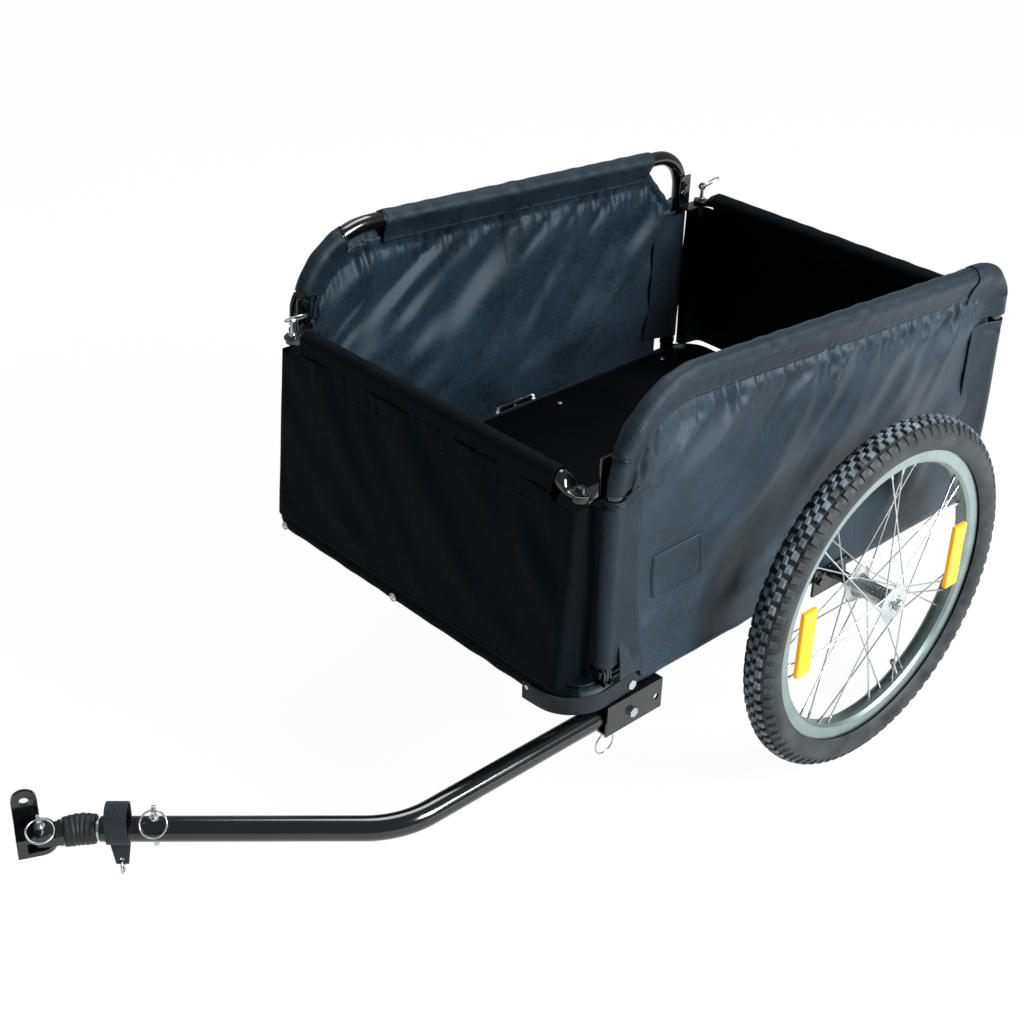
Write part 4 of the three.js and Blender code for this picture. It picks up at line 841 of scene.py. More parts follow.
def casing_profile():
    """The tyre's section: an oval 23.5 mm wide each way and 18 mm to the crown, from bead to
    bead, and a plain inner side 3 mm within."""
    t = np.linspace(-2.42, 2.42, 45)
    up = np.where(np.cos(t) > 0, CASING_CROWN - CASING_MIDDLE, CASING_MIDDLE - RIM_SEAT + 3)
    outer = np.stack([CASING_MIDDLE + up * np.cos(t), TYRE_HALF * np.sin(t)], 1)
    outer = outer[outer[:, 0] > RIM_SEAT + 1]
    inner = outer[::-1].copy()
    inner[:, 1] *= 0.86
    inner[:, 0] = CASING_MIDDLE + (inner[:, 0] - CASING_MIDDLE) * 0.84
    return np.concatenate([outer, inner, outer[:1]])


def tread_blocks(centre):
    """Blocks on the casing. A row has five, at shares of the half width, and three of them are
    moved half a step round. A block is a frustum: its top is smaller than its foot by a quarter,
    and its corners follow the casing's oval."""
    step = 2 * math.pi / BLOCK_ROWS
    # Each band of blocks: from and to, as shares of the half width, and its shift round in steps.
    bands = [(-0.97, -0.66, 0.5), (-0.52, -0.19, 0.0), (-0.12, 0.12, 0.5), (0.19, 0.52, 0.0), (0.66, 0.97, 0.5)]
    surfaces = []
    for row in range(BLOCK_ROWS):
        for index, (low, high, shift) in enumerate(bands):
            reach = 0.29 if index in (0, 4) else 0.33
            slant = 0.12 * (1 if row % 2 else -1) * (index - 2)
            rings = []
            for depth, shrink in ((-0.6, 1.0), (BLOCK_HIGH * 0.8, 0.9), (BLOCK_HIGH, 0.74)):
                half = (high - low) / 2 * shrink
                across = (low + high) / 2 + np.array([-half, half, half, -half])
                corner = np.array([-1, -1, 1, 1]) * reach * step * shrink
                around = (row + shift) * step + corner + slant * step * (across - (low + high) / 2)
                lean = np.arcsin(np.clip(across, -0.999, 0.999))
                edge_fall = depth * (1 - 0.35 * np.abs(across) ** 3)
                radius = CASING_MIDDLE + (CASING_CROWN - CASING_MIDDLE + edge_fall) * np.cos(lean * 0.93)
                out = (TYRE_HALF + edge_fall * 0.1) * np.sin(lean) * 0.985
                rings.append(centre + np.stack([radius * np.sin(around), out, radius * np.cos(around)], 1))
            surfaces.append(grid(np.array(rings), around=True, ends=True))
    return surfaces


print("blocks on a tyre:", len(tread_blocks(np.zeros(3))))

# %% [markdown]
# The rim is a hollow box section with a lip for the tyre at each side. The hub is a turned shell
# with two flanges. Each flange carries fourteen spokes, which cross three others and end in
# nipples at the rim. Both profiles are alike on both sides, so half of each is written down.

# %% Rim, hub and spokes
RIM_LIP, RIM_DEPTH, RIM_HALF = 209.5, 17.0, 12.5
HUB_HALF, FLANGE_AT, FLANGE_R = 34.0, 30.0, 27.0
SPOKES_A_FLANGE, SPOKE_LEAN = 14, math.radians(68)


def spoke_ends(flange, k):
    """A spoke's ends: at the flange on radius 23.4, and at the rim, leaned round from it. Spokes
    lean forward and back in turn, and the left flange's stand half a step on."""
    from_angle = 2 * math.pi * (k + (0.5 if flange > 0 else 0)) / SPOKES_A_FLANGE
    to_angle = from_angle + SPOKE_LEAN * (1 if k % 2 else -1)
    ends = ((from_angle, 23.4, flange * FLANGE_AT), (to_angle, RIM_SEAT - RIM_DEPTH + 2, flange * 3))
    return [np.array([radius * math.sin(angle), across, radius * math.cos(angle)])
            for angle, radius, across in ends]


box = RIM_SEAT - RIM_DEPTH
rim = both_sides([(RIM_SEAT - 1, -RIM_HALF + 2.2), (RIM_LIP, -RIM_HALF + 1.7), (RIM_LIP + 0.6, -RIM_HALF + 0.8),
                  (RIM_LIP, -RIM_HALF), (RIM_SEAT - 6, -RIM_HALF), (box + 4, -RIM_HALF + 0.6),
                  (box + 0.9, -RIM_HALF + 4.5), (box, -3)])
rim += [(RIM_SEAT - 3, 5), (RIM_SEAT - 4, 0), (RIM_SEAT - 3, -5), rim[0]]
hub = both_sides([(6.4, -HUB_HALF), (11, -HUB_HALF), (12, -HUB_HALF + 1), (12, -FLANGE_AT - 2.6),
                  (FLANGE_R - 3, -FLANGE_AT - 1.6), (FLANGE_R, -FLANGE_AT), (FLANGE_R - 3, -FLANGE_AT + 1.6),
                  (17, -FLANGE_AT + 3.4), (15, -20), (13.2, -12)])
hub += hub[:1]
print("points in the profiles of rim and hub:", len(rim), len(hub))

# %% [markdown]
# Both wheels are alike. The nipples and the valve are one zinc piece beside the rim, and the
# spokes are one piece with the hub, as they turn together.

# %% Wheels put together
WHEEL_Y, VALVE_TURN = 385.0, 3.6
valve_way = np.array([math.sin(VALVE_TURN), 0, math.cos(VALVE_TURN)])
for side, sign in (("left", 1), ("right", -1)):
    centre = np.array([0, sign * WHEEL_Y, AXLE_Z])
    wheel = body_of_node[side + "_tyre"]
    piece(side + "_tyre_casing", [turned(casing_profile(), centre, (0, 1, 0), 120)] + tread_blocks(centre),
          wheel, "tyre", [side + "_tyre"], sharp=30)
    piece(side + "_rim_box", [turned(rim, centre, (0, 1, 0), 128)], wheel, "rim_alloy", [side + "_rim"], sharp=25)

    nipples, spokes = [], []
    for flange in (-1, 1):
        for k in range(SPOKES_A_FLANGE):
            near, far = spoke_ends(flange, k)
            way = unit(far - near)
            nipples.append(rod(centre + far - way * 12, centre + far + way * 1.5, 1.9, 0.5, 10))
            spokes.append(rod(centre + near - way * 3, centre + far - way * 8, 1.0, 0, 10))
    for low, high, radius, edge in ((-26, 4, 2.9, 0.6), (-31, -24, 4.0, 1.2)):
        nipples.append(rod(centre + valve_way * (box + low), centre + valve_way * (box + high), radius, edge, 16))
    piece(side + "_hub_and_spokes", [turned(hub, centre, (0, 1, 0), 48)] + spokes, wheel,
          slot_of_node[side + "_hub"], [side + "_hub"], sharp=32)
    piece(side + "_nipples_and_valve", nipples, wheel, "zinc", finish=zinc_plate)
    softened(side + "_stub_axle", 0.5)
    for where in ("front", "rear"):
        softened(f"{side}_reflector_{where}", 2.0, 3)

# %% [markdown]
# ## Sewn cloth
# A sheet of cloth is a grid of points with a UV map of its own lengths and a thickness of
# 1.2 mm. The hoops and bars run in sleeves: a sleeve's section goes round the tube and comes
# together at a seam. A cloth simulation could find the folds, but they would come out in other
# places each time. Worked out, they lie where the photograph shows them.

# %% Sheet of cloth
CLOTH_MM = 1.2


def cloth(name, points, body, slot, stands_for=(), thick=CLOTH_MM, finish=None):
    """A sheet from a grid of points. Its UV map is the length along the rows and the columns."""
    points = np.asarray(points, float)
    across = np.zeros(points.shape[:2])
    down = np.zeros(points.shape[:2])
    across[:, 1:] = np.cumsum(np.linalg.norm(np.diff(points, axis=1), axis=2), axis=1)
    down[1:] = np.cumsum(np.linalg.norm(np.diff(points, axis=0), axis=2), axis=0)
    lengths = np.stack([across, down], -1).reshape(-1, 2) * MM
    mesh = new_mesh(name, *grid(points))
    layer = mesh.uv_layers.new(name="cloth")
    corner_lengths = lengths[values_of(mesh.loops, "vertex_index", int)]
    layer.data.foreach_set("uv", corner_lengths.ravel().astype(np.float32))
    mesh.shade_smooth()
    made = hand_over(name, mesh, body, slot, stands_for, finish)
    solid = made.modifiers.new("thickness", "SOLIDIFY")
    solid.thickness = thick * MM
    solid.offset = 0.0


print("cloth thickness, mm:", CLOTH_MM)

# %% [markdown]
# Folds are ridges with a bell-shaped section, h exp(-(d / w)^2), that fade at both ends. They run
# the way the tension does, from the upper rear to the lower front. Puckers start at the seams and
# fade away from them. The thread of each seam is drawn stitch by stitch.

# %% Folds, ripples and stitches
random = np.random.default_rng(11)


def fold(x, z, start, end, height, width):
    """A ridge from one place (x, z) to another: height exp(-(d / width)^2), rising over the first
    35 hundredths of its length and falling over the last 45."""
    start, end = np.array(start, float), np.array(end, float)
    way = end - start
    long = np.linalg.norm(way)
    way /= long
    along = (x - start[0]) * way[0] + (z - start[1]) * way[1]
    away = (x - start[0]) * -way[1] + (z - start[1]) * way[0]
    fade = smooth(along / (0.35 * long)) * smooth((long - along) / (0.45 * long))
    return height * fade * np.exp(-(away / width) ** 2)


def ripples(along, wave, count=5):
    """A sum of sines with near wavelengths and chance phases, between about -1 and 1."""
    total = np.zeros_like(along, float)
    for k in range(count):
        total += np.sin(2 * math.pi * along / (wave * (0.7 + 0.15 * k)) + random.uniform(0, 6.28))
    return total / count ** 0.5 / 1.2


def stitches(line, away, pitch=6.5, long=4.2):
    """Short threads along a line of points, each a flat bar lying on the cloth. away points off
    the cloth."""
    line = spaced(np.asarray(line, float), pitch)[0]
    surfaces = []
    for at, following in zip(line[:-1], line[1:]):
        way = unit(following - at)
        side = unit(np.cross(way, away)) * 0.55
        up = unit(away) * 0.45
        ring = [at + side * a + up * b for a, b in ((-1, -1), (1, -1), (0.7, 1), (-0.7, 1))]
        surfaces.append(grid(np.array([ring, [p + way * long for p in ring]]), around=True, ends=True))
    return surfaces


print("stitches in 100 mm of seam:", len(stitches([(0, 0, 0), (100, 0, 0)], (0, 0, 1))))

# %% [markdown]
# A side's cloth has three parts: the sleeve over the top of the hoop, a sleeve on the lower part
# of each leg, and the sheet between them. The top sleeve stops at the brackets of the cross bars.
# On the right side it is cut open along the inside of the front bend, and its rear end stops
# before the rear bend, which leaves the tube bare. On the left side a cap covers the rear bend.

# %% Sleeves of the sides
SLEEVE_R, SEAM_IN = 12.7, 33.0
LEG_LOW = 284.0


def hoop_stations(y, step=4.0):
    """A hoop's middle line in even steps, with the length and the direction at each point."""
    path, stations = spaced(hoop_path(y), step)
    return path, stations, directions(path)


def sleeve_section(radius, seam, inner_cut, lip=7):
    """The sleeve's section as points (a, b) from the inner lip round the tube to the outer lip: a
    is away from the hoop's middle, b outward from the trailer. A lip leaves the circle near the
    tangent from the seam and curves in to 2 mm beside the sheet, with share ^ 1.9. inner_cut from
    0 to 1 takes that share off the inner end."""
    touch = math.acos(radius / seam) * 0.8
    around = np.linspace(-(math.pi - touch), math.pi - touch, 33)
    arc = np.stack([radius * np.cos(around), radius * np.sin(around)], 1)
    shares = np.linspace(0, 1, lip)[:-1]
    lip_a = -seam + (arc[-1, 0] + seam) * shares
    lip_b = 2.0 + (arc[-1, 1] - 2.0) * shares ** 1.9
    points = np.concatenate([np.stack([lip_a, -lip_b], 1), arc, np.stack([lip_a, lip_b], 1)[::-1]])
    lengths = lengths_along(points)
    kept = lengths[-1] * (inner_cut + (1 - inner_cut) * np.linspace(0, 1, len(points)))
    return np.stack([np.interp(kept, lengths, points[:, k]) for k in (0, 1)], 1)


def sleeve(name, side, y, keep, inner_cut, radius=SLEEVE_R, seam=SEAM_IN):
    """A sleeve on the stations that keep picks. The cloth is loose by a millimetre here and there,
    and is drawn in by puckers toward the seam."""
    path, stations, tangents = hoop_stations(y)
    out = math.copysign(1, y)
    rows = np.flatnonzero(keep(path))
    loose = 0.5 * ripples(stations, 46)
    puckers = ripples(stations, 17)
    points = []
    for k in rows:
        section = sleeve_section(radius + max(loose[k], -0.3), seam + 0.8 * loose[k], inner_cut(path[k]))
        near_seam = smooth((-section[:, 0] - 6) / (seam - 6))
        b = section[:, 1] * (1 + 0.05 * loose[k]) + 1.5 * puckers[k] * near_seam * (1 - near_seam) * 2
        normal = np.cross((0, 1, 0), tangents[k])
        points.append(path[k] + section[:, :1] * normal + b[:, None] * np.array([0, out, 0]))
    share = 1 - np.mean([inner_cut(path[k]) for k in rows])
    cloth(name, points, side + "_side", "side_cloth",
          finish=shaded_sleeve_cloth)


def leg_sleeve(name, side, y, leg, high, reach):
    """The lower sleeve of a leg, from its seam round the tube and back to the seam: reach is the
    seam's distance from the leg, towards the middle. The tube's part bulges a little at half
    height, and the inner cloth stops under the bar's bracket."""
    toward = -1 if leg > 0 else 1
    out = math.copysign(1, y)
    points = []
    for z in np.linspace(LEG_LOW, high, 64):
        share = (z - LEG_LOW) / (high - LEG_LOW)
        belly = 1.4 * math.sin(math.pi * share) + 0.5 * math.sin(9 * share + leg)
        cut = 0.46 * smooth((z - 500) / 8)
        section = sleeve_section(SLEEVE_R + max(belly, 0) * 0.7, reach, cut, lip=13)
        along = np.clip(-section[:, 0] / reach, 0, 1)
        x = leg - toward * section[:, 0]
        wrinkle = 0.9 * np.sin(z / 13 + 4 * along) * np.sin(math.pi * along)
        b = section[:, 1] + sheet_out(z) * smooth(along) * np.where(section[:, 1] > 0, 1, 0.6) + wrinkle
        points.append(np.stack([x, y + out * b, np.full(len(x), z)], 1))
    cloth(name, points, side + "_side", "side_cloth",
          finish=shaded_sleeve_cloth)


def sheet_out(z):
    """How far the sheet stands outside the hoop's plane: 15.6 mm at its foot, so that it hangs over
    the hem, and none 130 mm higher."""
    return 15.6 * (1 - smooth((z - 262) / 130))


print("cloth round a sleeve, mm:", round(lengths_along(sleeve_section(SLEEVE_R, SEAM_IN, 0))[-1], 1))

# %% [markdown]
# The sheet between the sleeves is pulled by its seams and slack between them. Its foot hangs over
# the hem, but is cut higher over the axle plate and the tow bracket. Each fold below is its start
# and end as (x, z), its height and its width.

# %% Folds of the side sheets
side_folds = {
    "left": [((150, 612), (318, 470), 8.0, 13), ((225, 612), (388, 490), 9.0, 12), ((285, 600), (394, 450), 7.0, 11),
             ((95, 605), (262, 445), 6.5, 15), ((-205, 600), (-100, 430), 7.0, 18),
             ((-250, 570), (-180, 410), 7.0, 13),
             ((-60, 600), (270, 335), 9.0, 36), ((-150, 560), (80, 370), 7.0, 27), ((20, 608), (150, 510), 4.5, 9),
             ((-40, 604), (70, 520), 4.0, 8), ((-110, 600), (-30, 530), 4.0, 8), ((350, 520), (394, 490), 4.0, 7),
             ((230, 410), (345, 295), 5.0, 22), ((60, 330), (260, 280), 4.0, 20), ((-200, 420), (-50, 290), 5.0, 26)],
    "right": [((60, 606), (340, 410), 8.0, 16), ((120, 612), (360, 445), 8.0, 12), ((0, 600), (270, 370), 8.0, 28),
              ((-90, 590), (40, 490), 6.0, 11), ((-140, 588), (-50, 510), 5.5, 9), ((-200, 580), (-110, 490), 5.5, 9),
              ((-230, 560), (80, 290), 8.0, 38), ((230, 560), (390, 430), 7.0, 11), ((-180, 450), (30, 280), 6.0, 26),
              ((150, 420), (340, 290), 6.0, 26), ((-40, 600), (40, 550), 5.0, 7), ((280, 540), (394, 460), 5.0, 9)]}


def drape(x, z, turn):
    """Slack between the folds: three waves 50 to 110 mm long across the pull of the cloth, which
    is 40 degrees below level toward the front, each bent a little by the others."""
    across = 0.64 * x + 0.77 * z
    along = 0.77 * x - 0.64 * z
    first = np.sin(2 * math.pi * across / 107 + 0.9 * np.sin(along / 83 + turn))
    second = np.sin(2 * math.pi * across / 63 + 1.3 * np.sin(along / 59 + 2 * turn) + 1)
    third = np.sin(2 * math.pi * (across + 0.25 * along) / 49 + 2)
    return 2.9 * first + 1.7 * second * np.sin(along / 71 + turn) + 0.9 * third


def sheet_y(x, z, top, folds, weight):
    """The sheet's distance from the trailer's middle plane: hoop plane, lean at the foot, folds
    that start below the seam, slack, a low ridge along the seam, and puckers under it. It is
    quiet at both ends and round the patch."""
    quiet = smooth((388 - x) / 22) * smooth((x + 306) / 22)
    quiet = quiet * (1 - 0.85 * smooth(1.7 - np.hypot((x - 302) / 58, (z - 376) / 42)))
    total = SIDE_Y + sheet_out(z)
    for start, end, height, width in folds:
        total = total + fold(x, z, start, end, height, width) * quiet * (0.15 + 0.85 * smooth((top - z - 6) / 34))
    ridge = 3.0 * np.exp(-((top - z - 19) / 8) ** 2)
    inside = smooth((top - z - 8) / 40) * smooth((z - 275) / 60) * quiet
    slack = drape(x, z, weight.mean() + len(folds)) * inside
    return total + ridge + slack + weight * 3.4 * np.exp(-((top - z - 22) / 22) ** 2)


print("folds, left and right:", [len(folds) for folds in side_folds.values()])

# %% [markdown]
# The sheet's upper edge follows the hoop 24 mm inside it. Its columns stand closer near both ends,
# where the edge bends. The left sheet's own numbers are kept for the patch that lies on it. A leg's
# sleeve is given by its leg, its upper end and its seam's distance from the leg.

# %% Side cloth
EDGE_INSIDE = 24.0
BRACKET_AT, BRACKET_TOP = 394.0, 506.0
LEG_SLEEVES = {"front": (FRONT_LEG, 513, 46), "rear": (REAR_LEG, 519, 52)}
SHEET_FRONT, SHEET_REAR, SHEET_FOOT, FOOT_CUT = 406.0, -315.0, 249.0, 13.0
for side, y in (("left", SIDE_Y), ("right", -SIDE_Y)):
    out = math.copysign(1, y)
    right = side == "right"
    path, stations, tangents = hoop_stations(y, 3)
    offset = path + np.cross((0, 1, 0), tangents) * -EDGE_INSIDE
    crest = offset[path[:, 2] > 500]
    crest = crest[np.argsort(crest[:, 0])]
    even = np.linspace(0, 1, 190)
    columns = SHEET_FRONT - (SHEET_FRONT - SHEET_REAR) * (0.5 * even + 0.25 * (1 - np.cos(math.pi * even)))
    top = np.interp(columns, crest[:, 0], crest[:, 2])
    top = np.where(columns > BRACKET_AT, np.minimum(top, BRACKET_TOP), top)
    if right:
        top = np.where(columns < -252, np.interp(columns, [-304, -252], [523, 583]), top)
    shares = np.linspace(0, 1, 110)[:, None]
    near_axle = smooth((44 - np.abs(columns)) / 6)
    near_tow = smooth((columns - 366) / 6) * (not right)
    foot = SHEET_FOOT + FOOT_CUT * np.maximum(near_axle, near_tow)
    z = foot + (top - foot) * shares
    x = columns + 0 * shares
    depth = sheet_y(x, z, top, side_folds[side], ripples(columns, 21))
    depth += 0.35 * np.sin(x / 31 + z / 17) * np.sin(z / 23 - x / 57)
    if not right:
        left_columns, left_foot, left_top, left_depth = columns, foot, top, depth
    cloth(side + "_side_sheet", np.stack([x, out * depth, z], -1), side + "_side", "side_cloth",
          stands_for=[side + "_side_panel"])

    def open_window(at, right=right):
        """How much of the inner cloth is cut away: all beside the bars' brackets, and on the right
        side along the front bend."""
        x, z = at[0], at[2]
        bracket = 0.5 * smooth((566 - z) / 10) * (x > 300 or x < -250)
        bend = 0.62 * smooth((350 - x) / 14) * smooth((x - 272) / 10) * (z > 560) if right else 0.0
        return float(max(bracket, bend))

    if right:
        sleeve("right_top_sleeve", side, y, lambda p: (p[:, 2] > 516) & (p[:, 0] > -256), open_window)
    else:
        sleeve("left_top_sleeve", side, y, lambda p: (p[:, 2] > 517) & (p[:, 0] > -262), open_window)
        sleeve("left_rear_cap", side, y, lambda p: (p[:, 2] > 524) & (p[:, 0] < -252), open_window,
               radius=14.0, seam=40.0)
    for end, (leg, high, reach) in LEG_SLEEVES.items():
        leg_sleeve(f"{side}_{end}_leg_sleeve", side, y, leg, high, reach)

    threads = []
    hoop_rows = (path[:, 2] > 530) & (path[:, 0] > -250)
    seam_line = (path + np.cross((0, 1, 0), tangents) * -(SEAM_IN - 4))[hoop_rows]
    for face in (1, -1):
        line = seam_line + (0, out * 2.6 * face, 0)
        if right and face < 0:
            line = line[line[:, 0] < 262]
        threads += stitches(line, (0, out * face, 0))
    for seam_x in (FRONT_LEG - LEG_SLEEVES["front"][2] + 4, REAR_LEG + LEG_SLEEVES["rear"][2] - 4):
        rows = [(seam_x, out * (SIDE_Y + sheet_out(h) + 2.6), h) for h in np.linspace(289, 508, 62)]
        threads += stitches(rows, (0, out, 0))
    piece(side + "_side_stitches", threads, side + "_side", "side_cloth", finish=thread, sharp=20)

# %% [markdown]
# The left sheet carries a plain stitched patch near the front leg. It is bare. Its grid lies on
# the sheet: each point takes its place from the four points of the sheet around it, by shares.

# %% Patch on the left side
patch_rear, patch_front, patch_low, patch_high = 258.0, 346.0, 348.0, 405.0
patch_x, patch_z = np.linspace(patch_front, patch_rear, 34), np.linspace(patch_low, patch_high, 24)
px, pz = np.meshgrid(patch_x, patch_z)
at_column = np.interp(-px, -left_columns, np.arange(len(left_columns)))
foot, top = (np.interp(-px, -left_columns, edge) for edge in (left_foot, left_top))
at_row = (pz - foot) / (top - foot) * (len(left_depth) - 1)
low_row, low_column = at_row.astype(int), at_column.astype(int)
row_share, column_share = at_row - low_row, at_column - low_column
seat = 0.0
for next_row, next_column in ((0, 0), (0, 1), (1, 0), (1, 1)):
    weight = (row_share if next_row else 1 - row_share) * (column_share if next_column else 1 - column_share)
    seat = seat + weight * left_depth[low_row + next_row, low_column + next_column]
from_edge = np.minimum(np.minimum(px - patch_rear, patch_front - px), np.minimum(pz - patch_low, patch_high - pz))
patch_y = seat + 0.9 + 0.9 * smooth(from_edge / 3)
cloth("left_side_patch", np.stack([px, patch_y, pz], -1), "left_side", "side_cloth",
      thick=0.9)
rear, front, low, high = patch_rear + 3, patch_front - 3, patch_low + 3, patch_high - 3
border = [(rear, high), (rear, low), (front, low), (front, high), (rear, high)]
threads = []
for (xa, za), (xb, zb) in zip(border[:-1], border[1:]):
    rows = []
    for s in np.linspace(0, 1, 12):
        x, z = xa + (xb - xa) * s, za + (zb - za) * s
        column = patch_y[:, round(float(np.interp(-x, [-patch_front, -patch_rear], [0, len(patch_x) - 1])))]
        rows.append((x, np.interp(z, patch_z, column) + 0.9, z))
    threads += stitches(rows, (0, 1, 0), 5.0, 3.4)
piece("left_patch_stitches", threads, "left_side", "side_cloth", finish=thread, sharp=20)
print("patch, mm:", patch_front - patch_rear, patch_high - patch_low, "stitches:", len(threads))

# %% [markdown]
# The two gates are alike. Each hangs from a sleeve round its bar, leans out over the hem at
# its foot, and turns in at both sides as a flap beside the leg. A gate is worked out at the front
# and reversed for the rear.

# %% Gates
GATE_FOOT, GATE_FOOT_X, FLAP_Y, FLAP_END = 260.5, 481.2, 277.0, 435.2
GATE_SEAM_X, GATE_SLEEVE_R = 460.5, 12.7
gate_folds = {
    "front": [((-230, 500), (-60, 300), 4.0, 30), ((-60, 505), (120, 290), 4.0, 36),
              ((180, 500), (255, 330), 3.5, 18), ((60, 500), (160, 420), 2.5, 14), ((-200, 330), (0, 275), 2.5, 18)],
    "rear": [((-220, 500), (-30, 320), 4.0, 30), ((20, 505), (200, 330), 4.5, 30), ((-120, 490), (-60, 400), 3.0, 12),
             ((150, 500), (240, 420), 3.0, 12)]}


def at_end(points, end):
    """Points of the front end, or for the rear the same reversed about halfway between the legs."""
    points = np.array(points, float)
    if end == "rear":
        points[..., 0] = FRONT_LEG + REAR_LEG - points[..., 0]
    return points


for end in ("front", "rear"):
    body = end + "_gate"
    turned_out = [(FLAP_END, FLAP_Y + 12, 0), (FLAP_END + 3, FLAP_Y, 0), (GATE_FOOT_X, FLAP_Y, 0)]
    plan_path = bent_path([(x, -y, 0) for x, y, _ in turned_out] + turned_out[::-1], [0, 3, 9, 9, 3, 0], 10)
    plan = spaced(plan_path, 4.5)[0]
    ahead = (plan[:, 0] - FLAP_END) / (GATE_FOOT_X - FLAP_END)
    # The upper edge drops by 9 mm beside the bar's brackets.
    top = 511 - 9 * smooth((np.abs(plan[:, 1]) - 232) / 14)
    z = top + (GATE_FOOT - top) * np.linspace(0, 1, 84)[:, None]
    # The flaps' feet end higher, above the bend of the hem.
    z = np.maximum(z, np.interp(plan[:, 0], [FLAP_END, 446, 476, GATE_FOOT_X], [266, 265.5, 261.5, GATE_FOOT]))
    lean = (z - BAR_Z) / (GATE_FOOT - BAR_Z)
    front_x = GATE_SEAM_X + (GATE_FOOT_X - GATE_SEAM_X) * lean
    x = FLAP_END + (front_x - FLAP_END) * ahead
    y = plan[:, 1] + 0 * z
    push = np.zeros_like(z)
    for start, finish_at, height, width in gate_folds[end]:
        push += fold(y, z, start, finish_at, height, width)
    slack = drape(y, z, 3.0 if end == "front" else 1.0)
    push += 1.2 * ripples(plan[:, 1], 24) * np.exp(-(top - z) / 20) + 0.45 * slack
    free = smooth((ahead - 0.6) / 0.4) * smooth((FLAP_Y - np.abs(y)) / 18) * smooth((z - GATE_FOOT + 3) / 40)
    x = x + push * free
    y = y - np.sign(y) * 1.5 * np.sin(z / 35) * (1 - ahead) ** 2
    cloth(end + "_gate_sheet", at_end(np.stack([x, y, z], -1), end), body, "gate_cloth",
          stands_for=[end + "_panel"])

    across, stations = spaced(np.array([(0, -236, 0), (0, 236, 0)], float), 4)
    loose = 0.35 * ripples(stations, 50)
    around = np.linspace(math.radians(200), 0, 27)
    bar = np.array([BAR_X["front"], BAR_Z])
    start = bar + 12.6 * np.array([math.cos(around[0]), math.sin(around[0])])
    # The sleeve's section: up the inside from the seam, round the bar, and down over the sheet.
    rows = [(461.5 + (start[0] - 461.5) * share, 487 + (start[1] - 487) * share)
            for share in np.linspace(0, 1, 9)[:-1]]
    rows += [(bar[0] + GATE_SLEEVE_R * math.cos(a), bar[1] + GATE_SLEEVE_R * math.sin(a)) for a in around]
    rows += [(459.7 + 4.0 * share, BAR_Z + (484 - BAR_Z) * share) for share in np.linspace(0, 1, 11)[1:]]
    rows = np.array(rows)
    puckers = 0.8 * ripples(stations, 19)
    points = np.zeros((len(rows), len(across), 3))
    points[..., 0] = rows[:, :1] + loose * 0.6 + puckers * smooth((515 - rows[:, 1:]) / 20)
    points[..., 1] = across[:, 1]
    points[..., 2] = rows[:, 1:] + loose * smooth((rows[:, 1:] - 515) / 15)
    cloth(end + "_bar_sleeve", at_end(points, end), body, "gate_cloth")

    threads = []
    for height, wall in ((487.5, 464.3), (265, 481.4)):
        rows = at_end([(wall, across_at, height) for across_at in np.linspace(-232, 232, 60)], end)
        threads += stitches(rows, (1 if end == "front" else -1, 0, 0))
    piece(end + "_gate_stitches", threads, body, "gate_cloth", sharp=20)
    print(end, "gate: points in the sheet", z.size, "stitches", len(threads))

# %% [markdown]
# The hem is a strip of cloth laced under the base tube. It goes round the tube's outside, under
# it and up its inside. Its side parts take the side cloth and its end parts the gates' darker
# tones as painted shade, so the strip is cut into runs where its outward direction changes.

# %% Hem
loop, stations = spaced(np.concatenate([base_loop, base_loop[:1]]), 5)
outward = np.cross(directions(loop), (0, 0, 1))
if outward[10] @ (loop[10] - loop.mean(0)) < 0:
    outward = -outward
# Round the tube from its top outside, under it, to its top inside.
around = np.radians(np.linspace(84, -262, 34))
radius = (12.9 + 0.4 * ripples(stations, 60))[:, None]
points = loop[:, None] + (radius * np.cos(around))[..., None] * outward[:, None]
points = points + (radius * np.sin(around))[..., None] * np.array([0, 0, 1])
# Runs that face the ends take the gates' darker tones, as painted shade.
is_end = np.abs(outward[:, 0]) > 0.7
runs = np.split(np.arange(len(loop)), np.flatnonzero(np.diff(is_end)) + 1)
for number, rows in enumerate((run for run in runs if len(run) >= 3), 1):
    wide = np.r_[rows, min(rows[-1] + 1, len(loop) - 1)]
    cloth(f"hem_part_{number}", points[wide], "chassis", "gate_cloth" if is_end[rows[0]] else "side_cloth",
          stands_for=["fabric_hem"] if number == 1 else ())
print("hem parts:", number)

# %% [markdown]
# A band of webbing holds the hem at the tow corner. It lies on the hem's outside, a little lower
# at the front than at the side, and follows the bend of the base tube.

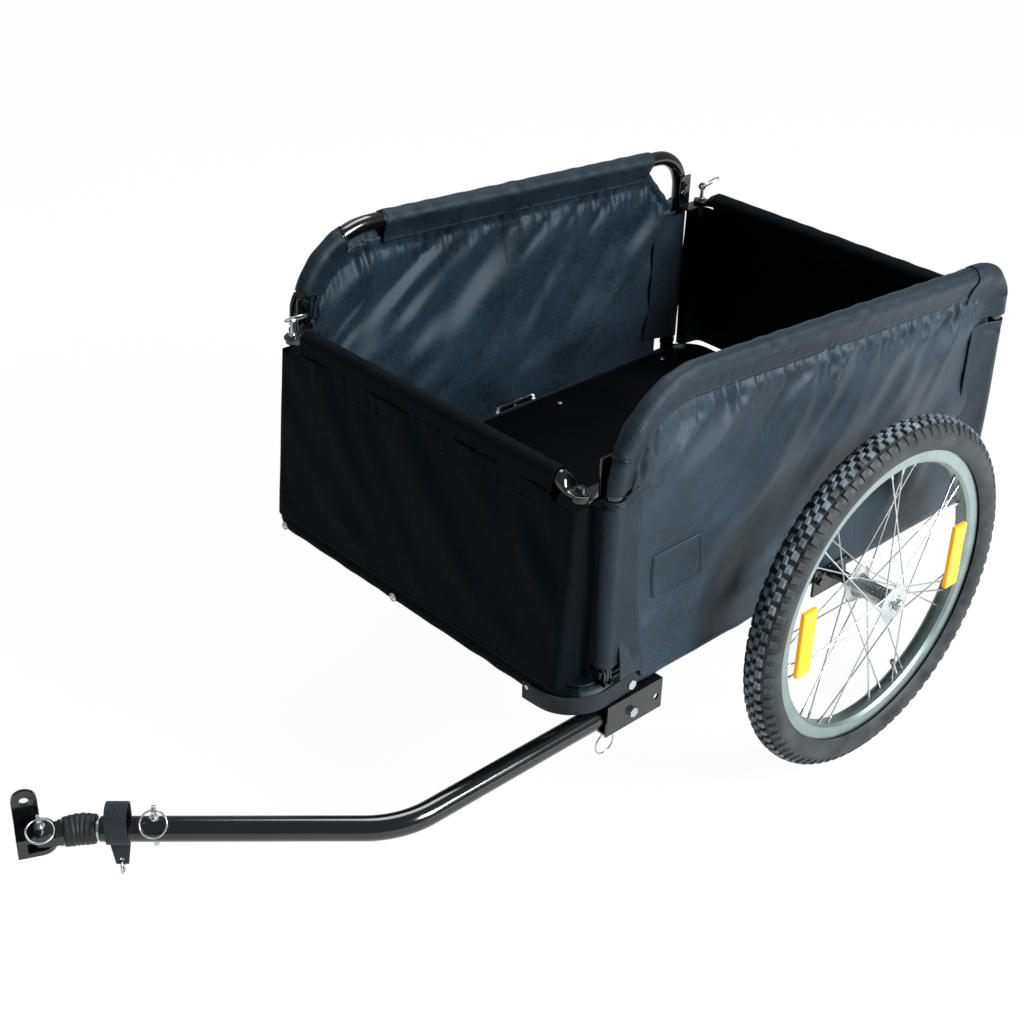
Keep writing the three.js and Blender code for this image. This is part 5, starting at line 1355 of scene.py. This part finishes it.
# %% Corner band
corner = [(378, SIDE_Y, 0), (RAIL_FRONT, SIDE_Y, 0), (RAIL_FRONT, 222, 0)]
band_path, stations = spaced(bent_path(corner, [0, CORNER_R, 0], 5), 4)
away = np.cross((0, 0, 1), directions(band_path))
if away[0][1] < 0:
    away = -away
middle = 249 - 12 * smooth(stations / stations[-1])
heights = np.linspace(-12, 12, 9)
points = band_path[:, None] + away[:, None] * (15.2 + 0.4 * np.cos(heights / 12 * 1.5))[None, :, None]
points[..., 2] = middle[:, None] + heights
cloth("corner_band", points, "chassis", "webbing",
      thick=1.6)
print("corner band, mm:", round(stations[-1]))

# %% [markdown]
# The floor board's corners are notched for the hoops' feet. Four small skirts of cloth close what
# the notches leave open. One is drawn as rows from an inner point out to an arc, and the others
# are its mirror images.

# %% Corner skirts
quarter = np.linspace(0, math.pi / 2, 12)
edge = np.stack([424 + 38 * np.cos(quarter), 252 + 35 * np.sin(quarter)], 1)
edge = np.concatenate([edge, [(x, 287) for x in np.linspace(418, 386, 8)]])
inner = np.array([396.0, 250.0])
flat_points = inner + (edge - inner) * np.linspace(0, 1, 9)[:, None, None]
skirt = np.concatenate([flat_points, np.full((*flat_points.shape[:2], 1), 255.8)], -1)
for number, (end, left) in enumerate((("front", 1), ("front", -1), ("rear", 1), ("rear", -1)), 1):
    cloth(f"corner_skirt_{number}", at_end(skirt * (1, left, 1), end), "chassis", "gate_cloth")
print("corner skirts:", number)

# %% [markdown]
# Three snaps hold the hem along the front, and six screws hold the floor board. Their low domed
# heads are turned from a profile.

# %% Snaps and floor screws
snap = [(0, 0), (6, 0), (6, 0.8), (4.8, 1.2), (4.4, 2.4), (3.2, 3.1), (0, 3.3)]
surfaces = [turned(snap, (RAIL_FRONT + 13.2, y, 243), (1, 0, 0), 28) for y in (-262, -27, 229)]
piece("hem_snaps", surfaces, "chassis", "zinc")
screw = [(0, 0), (4.5, 0), (4.2, 1.2), (2.6, 2.2), (0, 2.6)]
screw_places = [(-44, -256), (-284, -262), (200, -256), (-44, 256), (-284, 262), (200, 256)]
piece("floor_screws", [turned(screw, (x, y, 263.3), (0, 0, 1), 24) for x, y in screw_places], "chassis", "zinc")

# %% [markdown]
# The floor board and the coupling's plug keep the model's own solids and only need their finish.

# %% Finishes of the board and the plug
for name in ("floor_board", "coupling_plug"):
    nodes[name].data.materials.clear()
    nodes[name].data.materials.append(finish_of_slot[slot_of_node[name]])
